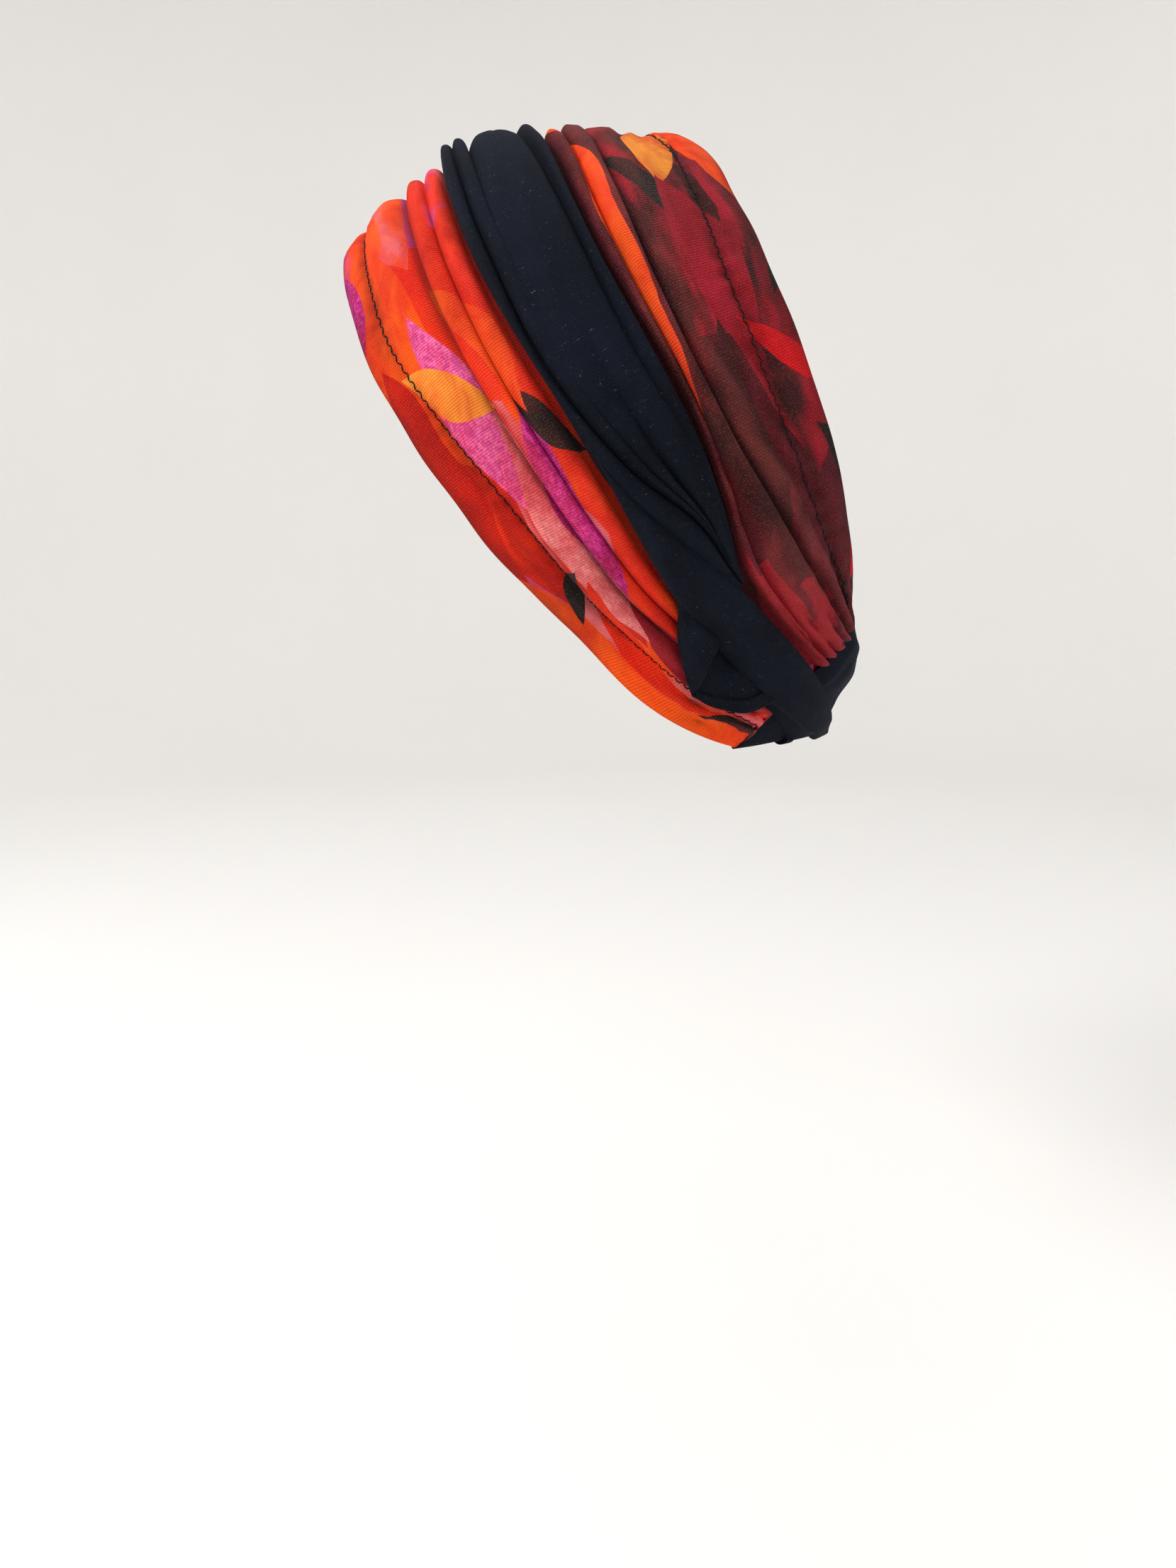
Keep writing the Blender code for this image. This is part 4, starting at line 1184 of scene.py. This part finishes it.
def with_petals(tree, vector, bent, colour):
    """The colour with every petal painted over it, and its mirror image past the crown."""
    veins = ranged(tree, noise(tree, vector, VEINS), *VEIN_SPAN)
    paints = {name: linear(code) for name, code in PAINTS.items()}
    for name, code in MARBLED.items():
        paints[name] = blend_colours(tree, veins, paints[name], linear(code))
    for petal in PETALS:
        mirrored = (2.0 * CROWN_ALONG - petal.along, -petal.turn)
        for along, turn in ((petal.along, petal.turn), mirrored):
            local = add_node(tree, "ShaderNodeMapping", {"Vector": bent}, vector_type="TEXTURE")
            local.inputs["Location"].default_value = (along, petal.across, 0.0)
            local.inputs["Rotation"].default_value = (0.0, 0.0, math.radians(turn))
            local.inputs["Scale"].default_value = (petal.length, petal.width, 1.0)
            inputs = {"Vector": local.outputs[0], "Bend": petal.bend}
            mask = use_group(tree, "petal", petal_group, inputs).outputs["Mask"]
            colour = blend_colours(tree, mask, colour, paints[petal.paint])
    return colour


def jersey_print_group():
    """Painted petals over broad washes, mottled by blooms, stains and flecks of the yarn."""
    inputs = [("Vector", "NodeSocketVector", None)]
    inputs += [(name, "NodeSocketFloat", 0.5) for name in ("Cloud", "Fleck")]
    tree, given, result = new_group("jersey_print", inputs, ("Color",), "NodeSocketColor")
    vector = given.outputs["Vector"]
    bent = bent_place(tree, vector)
    bloom = ranged(tree, noise(tree, vector, BLOOM), *BLOOM_SPAN)
    colour = blend_colours(tree, bloom, washes(tree, bent), linear(BLOOM_PAINT), "SCREEN")
    colour = with_petals(tree, vector, bent, colour)
    stain = ramp(tree, ranged(tree, noise(tree, bent, STAIN), *STAIN_SPAN), STAIN_STOPS)
    colour = blend_colours(tree, STAIN_SHARE, colour, stain, "MULTIPLY")
    colour = shaded(tree, colour, ranged(tree, given.outputs["Cloud"], *WET_SPAN))
    fleck = ranged(tree, given.outputs["Fleck"], *FLECK_SPAN)
    colour = blend_colours(tree, fleck, colour, linear(FLECK_PAINT))
    tree.links.new(colour, result.inputs["Color"])
    return tree


def shaded(tree, colour, shade, share=1.0):
    """The colour multiplied by a value."""
    inputs = {"Red": shade, "Green": shade, "Blue": shade}
    grey = add_node(tree, "ShaderNodeCombineColor", inputs).outputs[0]
    return blend_colours(tree, share, colour, grey, "MULTIPLY")


# Finishes of the three jersey faces, and for two of them the painted shade in the folds'
# valleys and the crests' paling, which is partly painted sheen and partly stretched cloth
Finish = namedtuple("Finish", "name specular sheen sheen_tint knit_bump")
PRINT_FACE = Finish("printed_jersey", 0.12, 0.045, (1.0, 0.62, 0.55), 0.8)
PRINT_BACK = Finish("printed_jersey_inside", 0.12, 0.15, (1.0, 0.9, 0.9), 0.5)
NAVY_FACE = Finish("navy_jersey", 0.09, 0.016, (0.5, 0.62, 1.0), 0.4)
# A fold's light: the share of colour left in the valleys' painted shade, how far the crests pale, partly
# painted sheen and partly stretched cloth, and the colour they pale towards
FoldShadeAndSheen = namedtuple("FoldShadeAndSheen", "valley fading pale")
PRINT_FOLD_SHADE_AND_SHEEN = FoldShadeAndSheen(0.46, 0.085, "#FF7E70")
NAVY_FOLD_SHADE_AND_SHEEN = FoldShadeAndSheen(0.35, 0.03, "#4A5570")
SHEEN_ROUGHNESS = 0.45
KNIT_RELIEF = 0.00030
FLECK_RELIEF = 0.8
CLOTH_ROUGHNESS = (0.3, 0.7, 0.78, 0.94)

# The inner side: how far the print is veiled there and by what, and how deep its knit is shaded
VEIL_SHARE = 0.62
VEIL = "#D9B7AC"
INSIDE_KNIT_SHARE = 0.6

# The navy jersey's dusty clouds, flecks and lint
DUST_GAIN = 1.5
DUST_BASE = 0.001
DUST_SPAN = (0.35, 0.7)
NAVY_FLECK_SPAN = (0.5, 0.8, 0.0, 0.05)
NAVY_FLECK = "#3C465E"
NAVY_LINT_SHARE = 0.20
NAVY_LINT = "#A9AFBC"

Jersey = namedtuple("Jersey", "material tree shader vector knit tone")


def new_jersey(finish, pitch):
    """Material of knitted cloth, all but its colour: its constant sockets, bump and roughness."""
    material, tree, shader = new_material(finish.name)
    shader.inputs["Sheen Weight"].default_value = finish.sheen
    shader.inputs["Sheen Roughness"].default_value = SHEEN_ROUGHNESS
    shader.inputs["Sheen Tint"].default_value = (*finish.sheen_tint, 1.0)
    shader.inputs["Specular IOR Level"].default_value = finish.specular
    vector = add_node(tree, "ShaderNodeUVMap", uv_map="cloth").outputs["UV"]
    knit = use_group(tree, "jersey_knit", jersey_knit_group, {"Vector": vector, "Pitch": pitch})
    tone = use_group(tree, "cloth_tone", cloth_tone_group, {"Vector": vector})
    height = calculate(tree, "MULTIPLY", tone.outputs["Fleck"], FLECK_RELIEF)
    height = calculate(tree, "ADD", knit.outputs["Height"], height)
    bump_inputs = {"Height": height, "Strength": finish.knit_bump, "Distance": KNIT_RELIEF}
    bump = add_node(tree, "ShaderNodeBump", bump_inputs)
    tree.links.new(bump.outputs["Normal"], shader.inputs["Normal"])
    tree.links.new(ranged(tree, tone.outputs["Cloud"], *CLOTH_ROUGHNESS), shader.inputs["Roughness"])
    return Jersey(material, tree, shader, vector, knit, tone)


def print_colour(jersey):
    """The print on a jersey, with its clouds and flecks in step with the jersey's own."""
    inputs = {"Vector": jersey.vector}
    inputs.update({name: jersey.tone.outputs[name] for name in ("Cloud", "Fleck")})
    return use_group(jersey.tree, "jersey_print", jersey_print_group, inputs).outputs["Color"]


def with_painted_shade_and_sheen(jersey, colour, relief):
    """Colour with painted shade and highlight on the stitches, painted shade in the folds' valleys, and
    crests paled partly by painted sheen, partly by stretch.
    """
    tree = jersey.tree
    crest = add_node(tree, "ShaderNodeAttribute", attribute_name="crest").outputs["Fac"]
    inputs = {"Crest": crest, "Cloud": jersey.tone.outputs["Cloud"]}
    inputs.update({"Valley": relief.valley, "Fading": relief.fading})
    fold = use_group(tree, "fold_painted_shade_and_sheen", fold_shade_and_sheen_group, inputs)
    stretched_and_sheened = blend_colours(tree, fold.outputs["Fade"], colour, linear(relief.pale))
    return shaded(tree, shaded(tree, stretched_and_sheened, jersey.knit.outputs["Shade"]), fold.outputs["Shade"])


def printed_jersey(settings):
    """Stretch jersey with the painted print on its face."""
    jersey = new_jersey(PRINT_FACE, settings.knit_pitch)
    # Painted shade in the folds' valleys and between the stitches, and crests paled partly by painted
    # sheen
    colour = with_painted_shade_and_sheen(jersey, print_colour(jersey), PRINT_FOLD_SHADE_AND_SHEEN)
    jersey.tree.links.new(colour, jersey.shader.inputs["Base Color"])
    return jersey.material


def printed_jersey_inside(settings):
    """Inner side of the printed jersey, where the print only shows through faintly."""
    jersey = new_jersey(PRINT_BACK, settings.knit_pitch)
    colour = blend_colours(jersey.tree, VEIL_SHARE, print_colour(jersey), linear(VEIL))
    # Painted shade and highlight of the knit on the inner side
    colour = shaded(jersey.tree, colour, jersey.knit.outputs["Shade"], INSIDE_KNIT_SHARE)
    jersey.tree.links.new(colour, jersey.shader.inputs["Base Color"])
    return jersey.material


def navy_jersey(settings, colours):
    """Plain navy-black jersey with a faint knit and stray lint, made once and shared."""
    found = bpy.data.materials.get(NAVY_FACE.name)
    if found:
        return found
    jersey = new_jersey(NAVY_FACE, settings.knit_pitch)
    tree = jersey.tree
    base = tuple(colours.navy)
    dusty = tuple(min(1.0, part * DUST_GAIN + DUST_BASE) for part in base)
    colour = blend_colours(tree, ranged(tree, jersey.tone.outputs["Cloud"], *DUST_SPAN), base, dusty)
    # Painted shade in the folds' valleys and between the stitches, and crests paled partly by painted
    # sheen
    colour = with_painted_shade_and_sheen(jersey, colour, NAVY_FOLD_SHADE_AND_SHEEN)
    fleck = ranged(tree, jersey.tone.outputs["Fleck"], *NAVY_FLECK_SPAN)
    colour = blend_colours(tree, fleck, colour, linear(NAVY_FLECK))
    lint = calculate(tree, "MULTIPLY", jersey.tone.outputs["Lint"], NAVY_LINT_SHARE)
    colour = blend_colours(tree, lint, colour, linear(NAVY_LINT))
    tree.links.new(colour, jersey.shader.inputs["Base Color"])
    return jersey.material


# The thread's plies, in waves for each metre of its length, and their paler tone
THREAD_SPECULAR = 0.12
THREAD_PLIES = 900.0
THREAD_PLY_BEND = 0.5
THREAD_PALE = "#1C1719"
THREAD_ROUGHNESS = (0.0, 1.0, 0.5, 0.7)
THREAD_BUMP = {"Strength": 0.5, "Distance": 0.0001}


def stitch_thread(colours):
    """Dark thread with the twist of its plies."""
    material, tree, shader = new_material("stitch_thread")
    shader.inputs["Specular IOR Level"].default_value = THREAD_SPECULAR
    vector = add_node(tree, "ShaderNodeUVMap", uv_map="cloth").outputs["UV"]
    inputs = {"Vector": vector, "Scale": THREAD_PLIES, "Distortion": THREAD_PLY_BEND}
    plies = add_node(tree, "ShaderNodeTexWave", inputs, bands_direction="DIAGONAL").outputs["Fac"]
    colour = blend_colours(tree, plies, tuple(colours.thread), linear(THREAD_PALE))
    tree.links.new(colour, shader.inputs["Base Color"])
    tree.links.new(ranged(tree, plies, *THREAD_ROUGHNESS), shader.inputs["Roughness"])
    bump = add_node(tree, "ShaderNodeBump", {"Height": plies, **THREAD_BUMP})
    tree.links.new(bump.outputs["Normal"], shader.inputs["Normal"])
    return material


class HEADBAND_cloth(bpy.types.PropertyGroup):
    """Sizes of the cloth and its stitching."""

    jersey_wall: FloatProperty(
        name="Jersey wall", description="Thickness of one layer of jersey",
        default=0.00062, min=0.0002, unit="LENGTH", precision=5,
    )
    hem_roll: FloatProperty(
        name="Hem roll", description="Radius of the fold at a hemmed edge",
        default=0.0007, min=0.0003, unit="LENGTH", precision=5,
    )
    strap_roll: FloatProperty(
        name="Strap roll", description="Radius of the fold at the strap's edges",
        default=0.0010, min=0.0003, unit="LENGTH", precision=5,
    )
    wave_share: FloatProperty(
        name="Waves", description="Share of the depth of the cloth's small waves",
        default=1.0, min=0.0, max=2.0, subtype="FACTOR",
    )
    knit_pitch: FloatProperty(
        name="Knit pitch", description="Distance between two columns of the knit",
        default=KNIT_PITCH, min=0.0002, unit="LENGTH", precision=5,
    )
    thread_radius: FloatProperty(
        name="Thread radius", description="Radius of the hem's thread",
        default=0.00019, min=0.0001, unit="LENGTH", precision=5,
    )
    stitch_length: FloatProperty(
        name="Stitch length", description="Length of one zigzag of the hem's stitching",
        default=0.0032, min=0.001, unit="LENGTH", precision=4,
    )
    stitch_width: FloatProperty(
        name="Stitch width", description="Width of the zigzag of the hem's stitching",
        default=0.0009, min=0.0, unit="LENGTH", precision=4,
    )


class HEADBAND_colours(bpy.types.PropertyGroup):
    """Plain colours of the headband; the print has its own paints."""

    navy: FloatVectorProperty(
        name="Navy", description="Colour of the plain jersey",
        default=linear("#070A14"), size=3, min=0.0, max=1.0, subtype="COLOR",
    )
    thread: FloatVectorProperty(
        name="Thread", description="Colour of the hem's thread",
        default=linear("#0C090B"), size=3, min=0.0, max=1.0, subtype="COLOR",
    )
    floor: FloatVectorProperty(
        name="Floor", description="Colour of the floor and the backdrop",
        default=linear("#FAF8F5"), size=3, min=0.0, max=1.0, subtype="COLOR",
    )


class HEADBAND_studio(bpy.types.PropertyGroup):
    """The stage: floor, light and camera."""

    floor_drop: FloatProperty(
        name="Floor drop", description="Depth of the floor below the crown seat",
        default=0.41, min=0.2, unit="LENGTH",
    )
    camera_distance: FloatProperty(
        name="Camera distance", description="Distance of the camera from the middle plane",
        default=0.370, min=0.2, unit="LENGTH",
    )
    camera_drop: FloatProperty(
        name="Camera drop", description="Depth of the camera below the crown seat",
        default=0.1325, min=0.0, unit="LENGTH",
    )
    camera_pitch: FloatProperty(
        name="Camera pitch", description="Angle that the camera looks down",
        default=math.radians(9.8), subtype="ANGLE",
    )
    lens: FloatProperty(
        name="Lens", description="Focal length in millimetres on a 36 mm sensor",
        default=25.2, min=10.0, max=200.0,
    )
    key_power: FloatProperty(
        name="Key light", description="Power of the window-like key light in watts",
        default=13.0, min=0.0, subtype="POWER",
    )
    air_light: FloatProperty(
        name="Air light", description="Strength of the light from all round",
        default=0.42, min=0.0, max=5.0,
    )


def navy_sheet(context, name, points, flat_width, relief=VALLEY_TO_CREST):
    """A sheet of the plain navy jersey."""
    cloth = context.scene.headband_cloth
    navy = navy_jersey(cloth, context.scene.headband_colours)
    return cloth_sheet(name, points, flat_width, cloth.jersey_wall, [navy], relief)


class HEADBAND_OT_printed_band(bpy.types.Operator):
    """Wide printed band with its folds, hems and gathered ends"""

    bl_idname = "headband.printed_band"
    bl_label = "Printed Band"

    def execute(self, context):
        cloth = context.scene.headband_cloth
        points = band_points(cloth)
        hem_rows = column_of(BAND_FOLDS, "front_stitch")
        back_rows = points.shape[0] - 1 - column_of(BAND_FOLDS, "back_stitch")
        sheet = with_rolled_edges(points, cloth.hem_roll, hem_rows, back_rows)
        materials = [printed_jersey(cloth), printed_jersey_inside(cloth)]
        band = cloth_sheet(
            "printed_band_cloth", sheet, BAND_FLAT_WIDTH, cloth.jersey_wall, materials,
        )
        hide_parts("printed_band")
        return {"FINISHED"}


class HEADBAND_OT_hem_stitching(bpy.types.Operator):
    """Zigzag stitching along both hems of the printed band"""

    bl_idname = "headband.hem_stitching"
    bl_label = "Hem Stitching"

    def execute(self, context):
        cloth = context.scene.headband_cloth
        points = band_points(cloth)
        normals = surface_normals(points)
        thread = stitch_thread(context.scene.headband_colours)
        for edge in ("front", "back"):
            row = column_of(BAND_FOLDS, f"{edge}_stitch")
            inset = slice(THREAD_INSET, -THREAD_INSET)
            path, normal = thread_points(points[row][inset], normals[row][inset], cloth)
            tube = thread_tube(path, normal, cloth.thread_radius)
            faces, uv_faces = tube_faces(tube.shape[1])
            uv = cloth_uv(tube, 2.0 * np.pi * cloth.thread_radius)
            name = f"{edge}_hem_stitching"
            finished_piece(name, tube[:-1], faces, uv_faces, uv, [thread])
        return {"FINISHED"}


class HEADBAND_OT_tie_strap(bpy.types.Operator):
    """Navy tie strap with the folds that run to its pinch"""

    bl_idname = "headband.tie_strap"
    bl_label = "Tie Strap"

    def execute(self, context):
        cloth = context.scene.headband_cloth
        turned = (STRAP_TURNED_COLUMNS, STRAP_TURNED_COLUMNS)
        sheet = with_rolled_edges(strap_points(cloth), cloth.strap_roll, *turned)
        strap = navy_sheet(
            context, "tie_strap_cloth", sheet, STRAP_FLAT_WIDTH, STRAP_VALLEY_TO_CREST,
        )
        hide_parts("tie_strap")
        return {"FINISHED"}


class HEADBAND_OT_knot_wrap(bpy.types.Operator):
    """Puffed wrap over the pinch, turned in under the nape band"""

    bl_idname = "headband.knot_wrap"
    bl_label = "Knot Wrap"

    def execute(self, context):
        points = np.concatenate([wrap_over(context.scene.headband_cloth), wrap_tuck()], axis=1)
        wrap = navy_sheet(
            context, "knot_wrap_cloth", points, WRAP_FLAT_WIDTH, STRAP_VALLEY_TO_CREST,
        )
        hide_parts("knot_wrap")
        return {"FINISHED"}


class HEADBAND_OT_tie_tail(bpy.types.Operator):
    """Folded tail of the tie, standing open beside the wrap"""

    bl_idname = "headband.tie_tail"
    bl_label = "Tie Tail"

    def execute(self, context):
        points = tail_points(context.scene.headband_cloth)
        tail = navy_sheet(
            context, "tie_tail_cloth", points, TAIL_FLAT_WIDTH, TAIL_VALLEY_TO_CREST,
        )
        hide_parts("tie_tail")
        return {"FINISHED"}


class HEADBAND_OT_nape_band(bpy.types.Operator):
    """Plain elastic casing between the two seams"""

    bl_idname = "headband.nape_band"
    bl_label = "Nape Band"

    def execute(self, context):
        points = puckered_nape(context.scene.headband_cloth)
        turned = (NAPE_TURNED_COLUMNS, NAPE_TURNED_COLUMNS)
        sheet = with_rolled_edges(points, NAPE_WALL * NAPE_ROLL_SHARE, *turned)
        nape = navy_sheet(context, "nape_band_cloth", sheet, NAPE_FLAT_WIDTH)
        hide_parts("nape_band")
        return {"FINISHED"}


class HEADBAND_OT_stage(bpy.types.Operator):
    """Pale floor and backdrop, soft light and the camera"""

    bl_idname = "headband.stage"
    bl_label = "Stage"

    def execute(self, context):
        studio = context.scene.headband_studio
        colours = context.scene.headband_colours
        stage_sweep(studio, colours)
        for lamp in LAMPS:
            soft_light(lamp.name, lamp.place, lamp.size, studio.key_power * lamp.share)
        world = bpy.data.worlds.new("studio_air")
        context.scene.world = world
        world.use_nodes = True
        air = world.node_tree.nodes["Background"]
        air.inputs["Color"].default_value = AIR_COLOUR
        air.inputs["Strength"].default_value = studio.air_light
        context.scene.view_settings.view_transform = "Standard"
        camera = bpy.data.cameras.new("photo_view")
        camera.lens = studio.lens
        camera.sensor_width = SENSOR_WIDTH
        camera.clip_start = CLIP_START
        view = bpy.data.objects.new("photo_view", camera)
        view.location = (studio.camera_distance, CAMERA_FORWARD, -studio.camera_drop)
        view.rotation_euler = (math.pi / 2.0 - studio.camera_pitch, 0.0, math.pi / 2.0)
        context.scene.collection.objects.link(view)
        context.scene.camera = view
        return {"FINISHED"}


def soft_light(name, place, size, power):
    """Square area light that faces the middle of the headband and stays unseen itself."""
    light = bpy.data.lights.new(name, "AREA")
    light.energy = power
    light.size = size
    lamp = bpy.data.objects.new(name, light)
    lamp.location = place
    lamp.rotation_euler = (Vector(LIGHT_AIM) - Vector(place)).to_track_quat("-Z", "Y").to_euler()
    lamp.visible_camera = False
    bpy.context.scene.collection.objects.link(lamp)


def stage_sweep(studio, colours):
    """Round floor that curves up into a wall: a profile turned about the Z axis.

    The profile is a straight floor, a quarter circle and a straight wall, and the floor's
    middle is closed by one face.
    """
    steps = np.linspace(0.0, np.pi / 2.0, SWEEP_STEPS)
    curve_out = SWEEP_FLOOR + SWEEP_BEND * np.sin(steps)
    curve_up = SWEEP_BEND * (1.0 - np.cos(steps))
    out = np.concatenate([[SWEEP_FLOOR / 2.0], curve_out, [SWEEP_FLOOR + SWEEP_BEND]])
    up = np.concatenate([[0.0], curve_up, [SWEEP_HEIGHT]]) - studio.floor_drop
    angle = np.linspace(0.0, 2.0 * np.pi, SWEEP_SIDES, endpoint=False)[:, None]
    points = np.stack(np.broadcast_arrays(out * np.cos(angle), out * np.sin(angle), up), axis=-1)
    ring = np.arange(SWEEP_SIDES) * len(out)
    faces = grid_faces(SWEEP_SIDES + 1, len(out))[:, ::-1] % points[..., 0].size
    mesh = bpy.data.meshes.new("studio_floor")
    mesh.from_pydata(points.reshape(-1, 3).tolist(), [], faces.tolist() + [ring[::-1].tolist()])
    mesh.shade_smooth()
    mesh.materials.append(floor_paper(colours))
    floor = bpy.data.objects.new("studio_floor", mesh)
    bpy.context.scene.collection.objects.link(floor)


# The floor's paper: its faint clouds, how dim they are, and its roughness
PAPER_CLOUD = Noise(3.0, 3.0, 0.5, 0.0)
PAPER_DIM = 0.96
PAPER_ROUGHNESS = 0.9


def floor_paper(colours):
    """Matt paper with a faint tone."""
    material, tree, shader = new_material("studio_paper")
    place = add_node(tree, "ShaderNodeTexCoord").outputs["Object"]
    pale = tuple(colours.floor)
    dim = tuple(part * PAPER_DIM for part in pale)
    colour = blend_colours(tree, noise(tree, place, PAPER_CLOUD), pale, dim)
    tree.links.new(colour, shader.inputs["Base Color"])
    shader.inputs["Roughness"].default_value = PAPER_ROUGHNESS
    return material


class HEADBAND_PT_panel(bpy.types.Panel):
    """Sidebar panel with the sizes, colours and pieces"""

    bl_idname = "HEADBAND_PT_panel"
    bl_label = "Tie Headband"
    bl_space_type = "VIEW_3D"
    bl_region_type = "UI"
    bl_category = "Headband"

    def draw(self, context):
        scene = context.scene
        for group in (scene.headband_cloth, scene.headband_colours, scene.headband_studio):
            box = self.layout.box()
            for name in group.__annotations__:
                box.prop(group, name)
        for operator in OPERATORS:
            self.layout.operator(operator.bl_idname)


PROPERTY_GROUPS = {
    "headband_cloth": HEADBAND_cloth,
    "headband_colours": HEADBAND_colours,
    "headband_studio": HEADBAND_studio,
}
OPERATORS = (
    HEADBAND_OT_stage,
    HEADBAND_OT_printed_band,
    HEADBAND_OT_hem_stitching,
    HEADBAND_OT_tie_strap,
    HEADBAND_OT_nape_band,
    HEADBAND_OT_knot_wrap,
    HEADBAND_OT_tie_tail,
)
CLASSES = (*PROPERTY_GROUPS.values(), *OPERATORS, HEADBAND_PT_panel)


def register():
    """Registers every class and adds the settings to the scene."""
    for kind in CLASSES:
        bpy.utils.register_class(kind)
    for name, group in PROPERTY_GROUPS.items():
        setattr(bpy.types.Scene, name, PointerProperty(type=group))


def unregister():
    """Takes the settings off the scene and the classes out again."""
    for name in PROPERTY_GROUPS:
        delattr(bpy.types.Scene, name)
    for kind in reversed(CLASSES):
        bpy.utils.unregister_class(kind)


def main():
    register()
    bpy.ops.headband.stage()
    bpy.ops.headband.printed_band()
    bpy.ops.headband.hem_stitching()
    bpy.ops.headband.tie_strap()
    bpy.ops.headband.nape_band()
    bpy.ops.headband.knot_wrap()
    bpy.ops.headband.tie_tail()
    bpy.context.view_layer.update()


if __name__ == "__main__":
    main()
